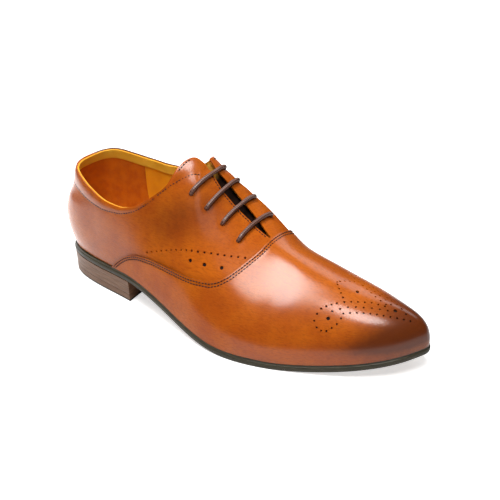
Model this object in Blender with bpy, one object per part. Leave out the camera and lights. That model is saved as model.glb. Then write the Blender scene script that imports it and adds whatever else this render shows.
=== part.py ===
"""Right-foot leather oxford: sole, heel, insole, hollow upper, vamp overlay, tongue and four lace bars.

Lengths in the tables are millimetres, x runs from the back of the heel to the toe,
y is negative on the outer side of the foot and z is up from the floor.
"""
import bpy
import bmesh
import numpy as np
from mathutils import Vector
from mathutils.bvhtree import BVHTree

MM = 0.001
ORIGIN_X = 154.0
ORIGIN_Y = -3.25

# Sole and heel sizes
HEEL_TOP = 23.5
SOLE_THICK = 5.5
TOE_SPRING = 14.0
SHANK_START = 72.0
SHANK_END = 186.0
SPRING_START = 216.0
TOE_X = 308.0
HEEL_BREAST = 79.0
BREAST_HOLLOW = 2.0
TOP_PIECE = 6.0
SOLE_MARGIN = 2.0
FIT_GAP = 0.3

# Leather sizes
WALL = 2.0
VAMP_THICK = 1.0
VAMP_LIFT = 0.4
INSOLE_THICK = 2.5
TONGUE_THICK = 1.6
TONGUE_DEPTH = 5.0
TONGUE_TOP_X = 126.0
TONGUE_TOE_X = 203.0
TONGUE_ROUND = 6.0
LACE_RADIUS = 1.2
HOLE_RADIUS = 2.0

# Places along the ring of sections, in rows of the table
THROAT_ROW = 9.66
VAMP_REAR_ROW = 3.0
THROAT_X = 183.4
VAMP_X = 185.1

# One row per section of the last: sole edge, crown line above it and how the side wall bends between
COLUMNS = ("name", "x", "lat_y", "med_y", "top_x", "top_lat_y", "top_med_y", "top_z", "lat_lean", "med_lean",
           "lat_turn", "med_turn", "base_pull", "lat_pull", "med_pull", "slope")
SECTIONS = (
    ("heel_back", 0.0, 0.0, 0.0, 24.0, 0.0, 0.0, 138.0, 16, 16, 10, 10, 0.85, 0.80, 0.80, 0.00),
    ("heel_turn", 7.0, -16.0, 16.5, 27.0, -12.0, 13.0, 138.0, 16, 16, 10, 10, 0.85, 0.80, 0.80, 0.00),
    ("heel_side", 26.0, -25.5, 26.5, 38.0, -19.5, 22.0, 138.0, 14, 14, 7, 7, 0.85, 0.80, 0.80, 0.00),
    ("seat", 50.0, -30.5, 30.5, 54.0, -23.0, 25.5, 138.5, 10, 11, 4, 4, 0.80, 0.80, 0.80, 0.00),
    ("breast", 76.0, -34.5, 31.0, 72.0, -21.0, 27.0, 138.0, 6, 11, 4, 4, 0.75, 0.80, 0.80, 0.00),
    ("shank", 100.0, -39.8, 28.5, 90.0, -14.0, 25.0, 137.0, 3, 14, 8, 8, 0.70, 0.80, 0.80, -0.30),
    ("waist", 124.0, -46.0, 28.0, 103.0, -2.0, 18.5, 135.0, 2, 17, 28, 32, 0.70, 0.80, 0.80, -0.70),
    ("waist_front", 146.0, -52.0, 31.5, 112.0, 9.8, 9.8, 126.7, 3, 19, 62, 107, 0.72, 0.95, 1.00, -1.00),
    ("ball_rear", 166.0, -56.0, 38.0, 138.0, 9.4, 9.4, 99.6, 5, 17, 70, 110, 0.80, 0.95, 1.60, -0.92),
    ("outer_ball", 187.0, -56.8, 45.5, 165.0, 8.2, 8.2, 78.5, 7, 12, 80, 107, 0.90, 0.95, 1.32, -0.66),
    ("ball", 209.0, -53.2, 50.0, 192.0, 2.8, 2.8, 65.0, 7, 9, 90, 95, 0.95, 0.85, 1.20, -0.52),
    ("ball_front", 232.0, -45.6, 49.5, 215.0, 0.2, 0.2, 59.3, 5, 7, 90, 92, 1.00, 0.95, 1.18, -0.32),
    ("vamp", 255.0, -36.0, 44.5, 234.0, 0.4, 0.4, 54.6, 4, 6, 90, 90, 1.00, 1.15, 1.30, -0.26),
    ("toe_side", 276.0, -25.2, 36.5, 248.0, 1.2, 1.2, 51.2, 3, 5, 90, 90, 1.05, 1.35, 1.45, -0.24),
    ("toe_turn", 294.0, -11.5, 26.5, 257.0, 2.0, 2.0, 49.1, 3, 4, 90, 90, 1.15, 1.50, 1.55, -0.24),
    ("toe_corner", 304.5, 2.0, 18.0, 261.0, 2.4, 2.4, 48.2, 3, 3, 90, 90, 1.20, 1.60, 1.60, -0.24),
    ("toe_tip", 308.0, 10.0, 10.0, 262.0, 2.6, 2.6, 48.0, 3, 3, 90, 90, 1.20, 1.60, 1.60, -0.24),
)
TIP_ROW = len(SECTIONS) - 1
RING = 2 * TIP_ROW

# Side-view lines: x with the height on the outer and on the inner side
COLLAR = (
    (-10.0, 94.4, 94.4), (11.4, 94.2, 94.2), (13.3, 93.8, 95.0), (17.0, 92.7, 96.2), (24.0, 90.5, 97.0),
    (40.0, 84.0, 94.5), (57.0, 78.0, 92.5), (70.0, 77.0, 91.5), (84.0, 80.6, 92.5), (94.0, 86.9, 94.8),
    (104.0, 95.0, 98.0), (108.5, 100.2, 100.5), (110.5, 105.6, 101.8), (112.0, 110.9, 102.8),
    (114.0, 114.8, 104.3), (118.0, 117.6, 107.4), (124.0, 119.6, 113.4), (150.0, 126.0, 124.0),
)
VAMP_SEAM = (
    (56.0, 19.0), (66.5, 30.8), (80.9, 41.2), (91.5, 44.7), (109.4, 46.1), (137.2, 46.2), (151.7, 46.4),
    (162.9, 46.9), (171.4, 50.9), (178.0, 57.0), (181.4, 61.0), (183.9, 64.2), (184.7, 66.6), (185.1, 72.0),
)
FACING_GAP = ((110.0, 6.5), (118.5, 5.6), (121.5, 3.4), (125.0, 2.4), (131.0, 2.1), (143.0, 3.8), (158.0, 3.6),
              (172.0, 2.7), (183.4, 0.6))
TONGUE_HALF = ((120.0, 13.5), (134.0, 18.5), (155.0, 20.0), (203.0, 15.0))
CROWN_Y = ((112.0, 9.8), (138.0, 9.4), (165.0, 8.2), (192.0, 2.8), (215.0, 0.2), (262.0, 2.6))

# One row per lace bar: x and y of its outer eyelet, x and y of its inner eyelet
EYELETS = ((126.6, -12.9, 134.0, 18.6), (139.1, -11.8, 143.8, 21.6), (152.1, -11.0, 156.4, 24.0),
           (166.9, -12.6, 170.5, 24.4))

# Steps between sections: from row, to row, step
SECTION_STEPS = ((0.0, 2.4, 0.3), (2.4, 6.0, 0.45), (6.0, 6.6, 0.3), (6.6, 7.8, 0.15), (7.8, 8.1, 0.3),
                 (8.1, 9.3, 0.4), (9.3, 9.9, 0.12), (9.9, 11.4, 0.375), (11.4, 12.4, 0.5), (12.4, 16.0, 0.4))
UPPER_BANDS = 10
TONGUE_BANDS = 5
TONGUE_STEPS = 13

# Sole edge from the floor side up: how far in, height fraction of the thickness
SOLE_EDGE = ((1.0, 0.0), (0.2, 0.16), (0.0, 0.4), (0.1, 0.7), (0.7, 0.78), (0.7, 1.0))

COLOURS = {
    "outsole": (0.05, 0.04, 0.03), "heel_stack": (0.07, 0.04, 0.03), "heel_top_piece": (0.03, 0.03, 0.03),
    "insole": (0.55, 0.33, 0.12), "upper": (0.52, 0.20, 0.05), "vamp": (0.50, 0.19, 0.05),
    "tongue": (0.45, 0.19, 0.06), "lace": (0.09, 0.05, 0.03),
}


def around(lat_name, med_name):
    """Table values round the ring: heel, outer side, toe, inner side."""
    lat = [row[COLUMNS.index(lat_name)] for row in SECTIONS]
    med = [row[COLUMNS.index(med_name)] for row in SECTIONS]
    return np.array(lat + med[-2:0:-1], float)


def blend(values, slopes, row):
    """Cubic between neighbouring rows of the ring."""
    count = len(values)
    row = np.asarray(row, float) % count
    low = np.floor(row).astype(int) % count
    high = (low + 1) % count
    t = row - np.floor(row)
    return (values[low] * (1 + 2 * t) * (1 - t) ** 2 + slopes[low] * t * (1 - t) ** 2
            + values[high] * t * t * (3 - 2 * t) + slopes[high] * t * t * (t - 1))


def fair(values, row):
    """Closed cubic spline through the ring."""
    count = len(values)
    system = np.zeros((count, count))
    right = np.zeros(count)
    for k in range(count):
        system[k, k - 1] += 1
        system[k, k] += 4
        system[k, (k + 1) % count] += 1
        right[k] = 3 * (values[(k + 1) % count] - values[k - 1])
    return blend(values, np.linalg.solve(system, right), row)


def calm(values, row):
    """Ring curve without overshoot, averaged over a short span."""
    ahead = np.roll(values, -1) - values
    behind = np.roll(ahead, 1)
    total = np.where(np.abs(ahead + behind) < 1e-9, 1.0, ahead + behind)
    slopes = np.where(ahead * behind > 0, 2 * ahead * behind / total, 0.0)
    span = np.linspace(-0.45, 0.45, 9)
    weight = np.cos(span / 0.45 * np.pi / 2) ** 2
    weight = weight / weight.sum()
    return sum(w * blend(values, slopes, np.asarray(row) + s) for w, s in zip(weight, span))


def line(table, column, x):
    """Side-view line through a table, without overshoot."""
    xs = np.array([row[0] for row in table], float)
    ys = np.array([row[column] for row in table], float)
    step = np.diff(xs)
    rise = np.diff(ys) / step
    slopes = np.zeros(len(xs))
    for k in range(1, len(xs) - 1):
        if rise[k - 1] * rise[k] > 0:
            slopes[k] = 2 * rise[k - 1] * rise[k] / (rise[k - 1] + rise[k])
    slopes[0] = rise[0]
    slopes[-1] = rise[-1]
    x = np.clip(np.asarray(x, float), xs[0], xs[-1])
    k = np.clip(np.searchsorted(xs, x) - 1, 0, len(xs) - 2)
    t = (x - xs[k]) / step[k]
    return (ys[k] * (1 + 2 * t) * (1 - t) ** 2 + slopes[k] * step[k] * t * (1 - t) ** 2
            + ys[k + 1] * t * t * (3 - 2 * t) + slopes[k + 1] * step[k] * t * t * (t - 1))


def sole_top(x):
    """Height of the top of the outsole along the foot."""
    x = np.asarray(x, float)
    drop = np.clip((SHANK_END - x) / (SHANK_END - SHANK_START), 0, 1)
    lift = np.clip((x - SPRING_START) / (TOE_X - SPRING_START), 0, 1.3)
    return SOLE_THICK + (HEEL_TOP - SOLE_THICK) * drop * drop * (3 - 2 * drop) + TOE_SPRING * lift ** 1.7


def edge(row):
    """Sole outline in plan."""
    return np.stack([fair(around("x", "x"), row), fair(around("lat_y", "med_y"), row)], -1)


def outward(row):
    """Plan direction square to the sole outline."""
    step = edge(np.asarray(row) + 0.001) - edge(np.asarray(row) - 0.001)
    side = np.stack([step[..., 1], -step[..., 0]], -1)
    return side / np.linalg.norm(side, axis=-1, keepdims=True)


def last_points(row, t):
    """Outer face of the upper: t runs from the sole edge to the crown line."""
    row = np.asarray(row, float)
    side = outward(row)
    plan = edge(row) - SOLE_MARGIN * side
    base = np.concatenate([plan, (sole_top(plan[:, 0]) + FIT_GAP)[:, None]], 1)
    crown = np.stack([calm(around("top_x", "top_x"), row), calm(around("top_lat_y", "top_med_y"), row),
                      calm(around("top_z", "top_z"), row)], -1)
    lean = np.radians(fair(around("lat_lean", "med_lean"), row))
    turn = np.radians(calm(around("lat_turn", "med_turn"), row))
    base_pull = fair(around("base_pull", "base_pull"), row)
    crown_pull = fair(around("lat_pull", "med_pull"), row)
    slope = calm(around("slope", "slope"), row)
    inward = (crown - base)[:, :2]
    inward = inward / np.linalg.norm(inward, axis=1, keepdims=True)
    start = np.stack([side[:, 0] * np.sin(lean), side[:, 1] * np.sin(lean), np.cos(lean)], 1)
    finish = np.stack([inward[:, 0] * np.sin(turn), inward[:, 1] * np.sin(turn),
                       slope * inward[:, 0] * np.sin(turn) + np.cos(turn)], 1)
    finish = finish / np.linalg.norm(finish, axis=1, keepdims=True)
    chord = np.linalg.norm(crown - base, axis=1)
    start = (start * (chord * base_pull)[:, None])[:, None]
    finish = (finish * (chord * crown_pull)[:, None])[:, None]
    t = np.asarray(t, float)[..., None]
    return (base[:, None] * ((1 + 2 * t) * (1 - t) ** 2) + start * (t * (1 - t) ** 2)
            + crown[:, None] * (t * t * (3 - 2 * t)) + finish * (t * t * (t - 1)))


def last_normals(row, t):
    """Outward directions of the last at the same places."""
    t = np.minimum(t, 0.975)
    along = last_points(np.asarray(row) + 0.01, t) - last_points(np.asarray(row) - 0.01, t)
    low = np.clip(np.asarray(t) - 0.004, 0, 1)
    high = np.clip(np.asarray(t) + 0.004, 0, 1)
    up = last_points(row, high) - last_points(row, low)
    face = np.cross(along, up)
    return face / np.linalg.norm(face, axis=-1, keepdims=True)


def first_crossing(row, beyond):
    """Lowest t of each section at which a side-view test turns positive."""
    t = np.linspace(0, 1, 301)
    points = last_points(row, np.repeat(t[None], len(row), 0))
    found = np.ones(len(row))
    for k in range(len(row)):
        value = beyond(points[k], (row[k] % RING) <= TIP_ROW)
        hit = np.nonzero(value > 0)[0]
        if len(hit) and hit[0] > 0:
            low, high = value[hit[0] - 1], value[hit[0]]
            found[k] = t[hit[0] - 1] + (t[1] - t[0]) * min(1.0, max(0.0, -low / (high - low)))
    return found


def past_opening(points, outer_side):
    """Positive inside the collar mouth and the slit between the facings."""
    x, y, z = points[:, 0], points[:, 1], points[:, 2]
    above = z - line(COLLAR, 1 if outer_side else 2, x)
    gap = np.interp(x, [g[0] for g in FACING_GAP], [g[1] for g in FACING_GAP])
    centre = np.interp(x, [c[0] for c in CROWN_Y], [c[1] for c in CROWN_Y])
    reach = gap - (centre - y if outer_side else y - centre)
    slit = np.where((x > 90) & (x < THROAT_X) & (z > 60), reach, -1.0)
    return np.maximum(above, slit)


def section_rows(first, last):
    """Rows of the sections on one side between two places."""
    rows = []
    for low, high, step in SECTION_STEPS:
        rows.extend(np.arange(low, high - 1e-6, step))
    rows.append(float(TIP_ROW))
    inside = [r for r in rows if first + 1e-6 < r < last - 1e-6]
    return np.array([first] + inside + [last])


def make_object(name, points, faces, material):
    """Mesh object from millimetre points; outward faces are found again."""
    mesh = bpy.data.meshes.new(name)
    moved = (np.asarray(points, float) - np.array([ORIGIN_X, ORIGIN_Y, 0.0])) * MM
    mesh.from_pydata([tuple(p) for p in moved], [], faces)
    piece = bpy.data.objects.new(name, mesh)
    bpy.context.scene.collection.objects.link(piece)
    edit = bmesh.new()
    edit.from_mesh(mesh)
    bmesh.ops.remove_doubles(edit, verts=edit.verts, dist=0.00001)
    bmesh.ops.recalc_face_normals(edit, faces=edit.faces)
    edit.to_mesh(mesh)
    edit.free()
    colour = COLOURS[material]
    found = bpy.data.materials.get(material + "_finish")
    if found is None:
        found = bpy.data.materials.new(material + "_finish")
        found.use_nodes = True
        shader = found.node_tree.nodes["Principled BSDF"]
        shader.inputs["Base Color"].default_value = (*colour, 1.0)
        shader.inputs["Roughness"].default_value = 0.4
    mesh.materials.append(found)
    return piece


def thicken(name, outside, inside, faces, material):
    """Close two matching sheets with a rim along every free edge."""
    count = len(outside)
    used = {}
    for face in faces:
        for a, b in zip(face, face[1:] + face[:1]):
            used[(a, b)] = used.get((a, b), 0) + 1
    rim = [(b, a, a + count, b + count) for (a, b) in used if (b, a) not in used]
    inner = [tuple(i + count for i in reversed(face)) for face in faces]
    points = np.concatenate([outside, inside])
    return make_object(name, points, list(faces) + inner + rim, material)


def both_sides(rows, low, high, bands, crown_row):
    """Grid of the last over both sides, joined along the crown from crown_row on.

    Returns ring rows, t values, vertex numbers and triangles.
    """
    rows_all = np.concatenate([rows, (RING - rows[::-1])[1:]])
    low_all = np.concatenate([low[0], low[1][::-1][1:]])
    high_all = np.concatenate([high[0], high[1][::-1][1:]])
    t = low_all[:, None] + (high_all - low_all)[:, None] * np.linspace(0, 1, bands + 1)[None]
    wide = bands + 1
    number = np.arange(len(rows_all) * wide).reshape(len(rows_all), wide)
    count = len(rows_all)
    for k in range(len(rows) - 1):
        if rows[k] >= crown_row - 1e-6:
            number[count - 1 - k, bands] = number[k, bands]
    closed = rows[0] == 0.0
    faces = []
    for k in range(count - 1):
        n = k + 1
        if closed and n == count - 1:
            n = 0
        for b in range(bands):
            faces.append((number[k, b], number[n, b], number[n, b + 1]))
            faces.append((number[k, b], number[n, b + 1], number[k, b + 1]))
    return rows_all, t, number, [tuple(int(v) for v in face) for face in faces]


def even_normals(rows, t, number):
    """Normals of the grid, averaged where the two sides share the crown."""
    normal = last_normals(rows, t).reshape(-1, 3)
    total = np.zeros_like(normal)
    np.add.at(total, number.reshape(-1), normal)
    total[np.linalg.norm(total, axis=1) < 1e-9] = (0, 0, 1)
    return total / np.linalg.norm(total, axis=1, keepdims=True)


def opening_tops(rows, ring):
    """Upper end of each section: the collar, the facing edge or the crown."""
    top = first_crossing(ring, past_opening)
    top[rows >= THROAT_ROW - 1e-6] = 1.0
    return top


def make_upper():
    """Hollow quarters and lining wall, free at the collar, the throat and underneath."""
    rows = section_rows(0.0, float(TIP_ROW))
    zero = np.zeros(len(rows))
    tops = [opening_tops(rows, ring) for ring in (rows, RING - rows)]
    ring, t, number, faces = both_sides(rows, (zero, zero), tops, UPPER_BANDS, THROAT_ROW)
    outside = last_points(ring, t)
    normal = even_normals(ring, t, number)
    inside = outside.reshape(-1, 3) - WALL * normal
    foot = number[:, 0]
    plan = outside[:, 0, :2] - WALL * outward(ring)
    inside[foot, :2] = plan
    inside[foot, 2] = sole_top(plan[:, 0]) + FIT_GAP
    return thicken("upper", outside.reshape(-1, 3), inside, faces, "upper")


def make_vamp():
    """Vamp leather laid over the quarters, cut along its rear seam."""
    rows = section_rows(VAMP_REAR_ROW, float(TIP_ROW))
    zero = np.zeros(len(rows))
    tops = [opening_tops(rows, ring) for ring in (rows, RING - rows)]
    ring, t, number, faces = both_sides(rows, (zero, zero), tops, UPPER_BANDS, THROAT_ROW)
    points = last_points(ring, t).reshape(-1, 3)
    normal = even_normals(ring, t, number)
    normal[number[:, 0]] = np.concatenate([outward(ring), np.zeros((len(ring), 1))], 1)
    outside = points + (VAMP_LIFT + VAMP_THICK) * normal
    inside = points + VAMP_LIFT * normal
    vamp = thicken("vamp", outside, inside, faces, "vamp")
    xs = np.concatenate([np.linspace(30.0, 170.0, 22), np.linspace(174.0, VAMP_X, 9)])
    seam = [(x, float(line(VAMP_SEAM, 1, x))) for x in xs] + [(VAMP_X, 160.0), (30.0, 160.0)]
    count = len(seam)
    solid = [(x, y, z) for y in (-90.0, 90.0) for x, z in seam]
    sides = [tuple(range(count)), tuple(range(count, 2 * count))]
    for k in range(count):
        n = (k + 1) % count
        sides.append((k, n, count + n, count + k))
    cutter = make_object("seam_cutter", solid, sides, "vamp")
    cutter.hide_render = True
    cutter.display_type = "WIRE"
    trim = vamp.modifiers.new("rear_seam", "BOOLEAN")
    trim.operation = "DIFFERENCE"
    trim.solver = "EXACT"
    trim.object = cutter
    return vamp


def make_tongue(tree):
    """Tongue under the facings, rounded at its top and running on under the vamp."""
    across = np.linspace(-1.0, 1.0, 2 * TONGUE_BANDS + 1)
    outside = []
    inside = []
    for along in np.linspace(0.0, 1.0, TONGUE_STEPS + 1):
        for side in across:
            top = TONGUE_TOP_X + TONGUE_ROUND * side * side
            x = top + (TONGUE_TOE_X - top) * along
            half = np.interp(x, [r[0] for r in TONGUE_HALF], [r[1] for r in TONGUE_HALF])
            centre = np.interp(x, [c[0] for c in CROWN_Y], [c[1] for c in CROWN_Y])
            depth = np.interp(along, [0.72, 0.93], [TONGUE_DEPTH, WALL + FIT_GAP + 0.1])
            place, normal = drop_on(tree, x, centre + half * side)
            outside.append(place - normal * depth)
            inside.append(place - normal * (depth + TONGUE_THICK))
    wide = len(across)
    faces = []
    for k in range(TONGUE_STEPS):
        for b in range(wide - 1):
            a = k * wide + b
            faces.append((a, a + wide, a + wide + 1, a + 1))
    return thicken("tongue", np.array(outside), np.array(inside), faces, "tongue")


def plate(name, rings, material):
    """Solid from stacked outlines of the same sections, with strips across its two ends."""
    count = len(rings[0])
    half = count // 2
    points = np.concatenate(rings)
    faces = []
    for level in range(len(rings) - 1):
        for k in range(count):
            n = (k + 1) % count
            low, high = level * count, (level + 1) * count
            faces.append((low + k, low + n, high + n, high + k))
    for start in (0, (len(rings) - 1) * count):
        faces.append((start, start + 1, start + count - 1))
        for k in range(1, half - 1):
            faces.append((start + k, start + k + 1, start + count - k - 1, start + count - k))
        faces.append((start + half - 1, start + half, start + half + 1))
    return make_object(name, points, faces, material)


def full_ring():
    """Ring rows of every section, heel back first."""
    rows = section_rows(0.0, float(TIP_ROW))
    return np.concatenate([rows, (RING - rows[::-1])[1:-1]])


def make_outsole():
    """Thin sole with a stepped edge, shank rise, flat tread and toe spring."""
    ring = full_ring()
    side = outward(ring)
    rings = []
    for inset, part in SOLE_EDGE:
        plan = edge(ring) - inset * side
        height = sole_top(plan[:, 0]) - SOLE_THICK * (1 - part)
        rings.append(np.column_stack([plan, height]))
    return plate("outsole", rings, "outsole")


def make_insole():
    """Insole lying on the sole inside the wall."""
    ring = full_ring()
    plan = edge(ring) - (SOLE_MARGIN + WALL + 2 * FIT_GAP) * outward(ring)
    low = sole_top(plan[:, 0]) + FIT_GAP
    return plate("insole", [np.column_stack([plan, low]), np.column_stack([plan, low + INSOLE_THICK])], "insole")


def heel_plan(inset):
    """Heel outline: sole edge back to the breast, closed by a shallow hollow breast."""
    rows = np.linspace(0.0, 4.2, 15)
    lat = edge(rows) - inset * outward(rows)
    med = edge(RING - rows[1:]) - inset * outward(RING - rows[1:])
    lat = lat[lat[:, 0] < HEEL_BREAST - 1.0]
    med = med[med[:, 0] < HEEL_BREAST - 1.0]
    lat_end = np.array([HEEL_BREAST, np.interp(HEEL_BREAST, [76, 100], [-34.5, -39.8]) + inset])
    med_end = np.array([HEEL_BREAST, np.interp(HEEL_BREAST, [76, 100], [31.0, 28.5]) - inset])
    breast = []
    for part in (0.2, 0.4, 0.6, 0.8):
        point = lat_end + (med_end - lat_end) * part
        point[0] -= BREAST_HOLLOW * 4 * part * (1 - part)
        breast.append(point)
    return np.concatenate([lat, [lat_end], breast, [med_end], med[::-1]])


def heel_block(name, levels, material):
    """Prism of the heel plan through height and inset pairs."""
    rings = [np.column_stack([heel_plan(inset), np.full(len(heel_plan(inset)), height)])
             for height, inset in levels]
    count = len(rings[0])
    points = np.concatenate(rings)
    faces = [tuple(range(count)), tuple(range((len(rings) - 1) * count, len(rings) * count))]
    for level in range(len(rings) - 1):
        for k in range(count):
            n = (k + 1) % count
            faces.append((level * count + k, level * count + n, (level + 1) * count + n,
                          (level + 1) * count + k))
    return make_object(name, points, faces, material)


def crown_tree():
    """Search tree of the last over the instep, in millimetres."""
    lat = np.linspace(6.5, 11.5, 60)
    t = np.linspace(0.3, 1.0, 40)
    points = []
    faces = []
    for ring in (lat, RING - lat):
        grid = last_points(ring, np.repeat(t[None], len(ring), 0))
        start = len(points)
        points.extend(Vector(p) for p in grid.reshape(-1, 3))
        for k in range(len(lat) - 1):
            for b in range(len(t) - 1):
                a = start + k * len(t) + b
                faces.append((a, a + len(t), a + len(t) + 1, a + 1))
    return BVHTree.FromPolygons(points, faces)


def drop_on(tree, x, y):
    """Place and upward normal of the last under a plan point."""
    place, normal, _, _ = tree.ray_cast(Vector((x, y, 200.0)), Vector((0, 0, -1)))
    if normal.z < 0:
        normal = -normal
    return place, normal


def tube(name, path, radius, sides, material):
    """Round cord along a path with flat ends."""
    path = [Vector(p) for p in path]
    rings = []
    across = None
    for k, here in enumerate(path):
        ahead = (path[min(k + 1, len(path) - 1)] - path[max(k - 1, 0)]).normalized()
        if across is None:
            across = ahead.cross(Vector((1, 0, 0))).normalized()
        across = (across - ahead * across.dot(ahead)).normalized()
        third = ahead.cross(across)
        rings.append([here + radius * (across * np.cos(a) + third * np.sin(a))
                      for a in np.linspace(0, 2 * np.pi, sides, endpoint=False)])
    points = [tuple(p) for ring in rings for p in ring]
    faces = [tuple(range(sides)), tuple(range((len(rings) - 1) * sides, len(rings) * sides))]
    for k in range(len(rings) - 1):
        for s in range(sides):
            n = (s + 1) % sides
            faces.append((k * sides + s, k * sides + n, (k + 1) * sides + n, (k + 1) * sides + s))
    return make_object(name, points, faces, material)


def make_lace(tree, index, outer, inner):
    """One lace bar lying over the facings, both ends turned down into its eyelets."""
    lift = LACE_RADIUS + 0.4
    over = []
    for part in np.linspace(0, 1, 121):
        spot = outer.lerp(inner, part)
        place, normal = drop_on(tree, spot.x, spot.y)
        over.append((place, place + normal * lift))
    first = next(k for k in range(121) if (over[k][0] - over[0][0]).length > 2.3)
    final = next(k for k in range(120, 0, -1) if (over[k][0] - over[120][0]).length > 2.3)
    ends = []
    for spot, near in ((outer, first), (inner, final)):
        place, normal = drop_on(tree, spot.x, spot.y)
        toward = over[near][0] - place
        toward = (toward - normal * toward.dot(normal)).normalized()
        ends.append([place - normal * 3.0, place - normal * 1.2, place + normal * 0.5,
                     place + normal * 1.3 + toward * 0.9, over[near][1]])
    middle = [point for _, point in over[first:final + 1]]
    travel = np.cumsum([0.0] + [(b - a).length for a, b in zip(middle, middle[1:])])
    picks = [int(np.argmin(np.abs(travel - travel[-1] * part))) for part in np.linspace(0, 1, 11)[1:-1]]
    path = ends[0] + [middle[k] for k in picks] + ends[1][::-1]
    return tube("lace_bar_%d" % index, path, LACE_RADIUS, 8, "lace")


def cut_eyelets(upper, tree):
    """Punch the eyelet holes through the facings."""
    points = []
    faces = []
    sides = 12
    for outer_x, outer_y, inner_x, inner_y in EYELETS:
        for x, y in ((outer_x, outer_y), (inner_x, inner_y)):
            place, normal = drop_on(tree, x, y)
            across = normal.cross(Vector((1, 0, 0))).normalized()
            third = normal.cross(across)
            start = len(points)
            for depth in (-6.0, 4.0):
                for a in np.linspace(0, 2 * np.pi, sides, endpoint=False):
                    points.append(tuple(place + normal * depth
                                        + HOLE_RADIUS * (across * np.cos(a) + third * np.sin(a))))
            faces.append(tuple(start + k for k in range(sides)))
            faces.append(tuple(start + sides + k for k in range(sides)))
            for k in range(sides):
                n = (k + 1) % sides
                faces.append((start + k, start + n, start + sides + n, start + sides + k))
    cutter = make_object("eyelet_cutter", points, faces, "upper")
    cutter.hide_render = True
    cutter.display_type = "WIRE"
    punch = upper.modifiers.new("eyelets", "BOOLEAN")
    punch.operation = "DIFFERENCE"
    punch.solver = "EXACT"
    punch.object = cutter


def main():
    """Build every piece of the shoe."""
    for old in list(bpy.data.objects):
        bpy.data.objects.remove(old, do_unlink=True)
    make_outsole()
    make_insole()
    lift_top = HEEL_TOP - SOLE_THICK - FIT_GAP
    heel_block("heel_stack", ((TOP_PIECE + FIT_GAP, 0.9), (lift_top, 0.4)), "heel_stack")
    heel_block("heel_top_piece", ((0.0, 1.6), (0.6, 1.0), (TOP_PIECE, 0.9)), "heel_top_piece")
    upper = make_upper()
    make_vamp()
    tree = crown_tree()
    make_tongue(tree)
    cut_eyelets(upper, tree)
    for index, (outer_x, outer_y, inner_x, inner_y) in enumerate(EYELETS, start=1):
        make_lace(tree, index, Vector((outer_x, outer_y, 0.0)), Vector((inner_x, inner_y, 0.0)))


main()
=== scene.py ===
"""Dressed model of a right-foot leather oxford with punched decoration.

Sizes are millimetres on the shoemaker's last: x runs from the back of the heel to the toe, y is negative on
the outer side of the foot and z is up from the floor. Points go to the shared frame only when a mesh is set.
"""
import logging
import math
from dataclasses import dataclass, field
from enum import Enum
from functools import cache
from typing import Callable, Optional, Sequence

import bpy
import numpy as np
from mathutils import Matrix, Vector
from mathutils.bvhtree import BVHTree


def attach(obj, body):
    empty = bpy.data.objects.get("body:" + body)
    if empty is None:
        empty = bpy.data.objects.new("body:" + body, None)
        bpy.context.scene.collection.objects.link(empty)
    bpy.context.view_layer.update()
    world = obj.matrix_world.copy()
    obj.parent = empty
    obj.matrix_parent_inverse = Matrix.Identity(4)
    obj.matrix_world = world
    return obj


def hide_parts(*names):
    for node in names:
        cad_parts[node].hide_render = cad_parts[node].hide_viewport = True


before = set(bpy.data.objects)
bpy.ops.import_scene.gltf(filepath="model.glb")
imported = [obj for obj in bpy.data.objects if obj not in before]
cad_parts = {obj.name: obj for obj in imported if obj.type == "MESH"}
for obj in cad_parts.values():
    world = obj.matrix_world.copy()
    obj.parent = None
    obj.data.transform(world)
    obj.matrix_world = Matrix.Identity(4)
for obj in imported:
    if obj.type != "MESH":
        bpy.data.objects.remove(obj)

LOG = logging.getLogger("oxford")
MM = 0.001
ORIGIN = np.array([154.0, -3.25, 0.0])
BODY = "root"

Array = np.ndarray
Piece = bpy.types.Object
Socket = bpy.types.NodeSocket
Colour = tuple[float, float, float]
Table = Sequence[Sequence[float]]
Field = Callable[[Array], Array]
Test = Callable[[Array, Array], Array]


class Side(Enum):
    """The two sides of the foot, by the sign of y."""

    OUTER = -1
    INNER = 1


class Row(Enum):
    """Marked places round the ring of sections."""

    VAMP_REAR = 3.12
    THROAT = 9.66
    TIP = 16.0
    RING = 32.0


def to_frame(points: Array) -> Array:
    """Moves millimetre points of the last into the shared frame in metres."""
    return (np.asarray(points, float) - ORIGIN) * MM


def to_last(points: Array) -> Array:
    """Moves metre points of the shared frame back to the last's millimetres."""
    return np.asarray(points, float) / MM + ORIGIN


def unit(vectors: Array) -> Array:
    """Vectors scaled to length one."""
    return vectors / np.linalg.norm(vectors, axis=-1, keepdims=True)


def cubic(low: Array, high: Array, leave: Array, arrive: Array, t: Array) -> Array:
    """Cubic from low to high with a slope at each end, for t from 0 to 1."""
    return (low * ((1 + 2 * t) * (1 - t) ** 2) + leave * (t * (1 - t) ** 2)
            + high * (t * t * (3 - 2 * t)) + arrive * (t * t * (t - 1)))


def run_of(path: Array) -> Array:
    """Length along a path at each of its points."""
    return np.concatenate([[0.0], np.cumsum(np.linalg.norm(np.diff(path, axis=0), axis=1))])


def along(values: Array, run: Array, at: Array) -> Array:
    """Values of a path's points, read at given lengths along it."""
    return np.stack([np.interp(at, run, column) for column in values.T], 1)


def spaced(path: Array, count: int) -> Array:
    """Evenly spaced points along a path."""
    run = run_of(path)
    return along(path, run, np.linspace(0, run[-1], count))


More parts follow.
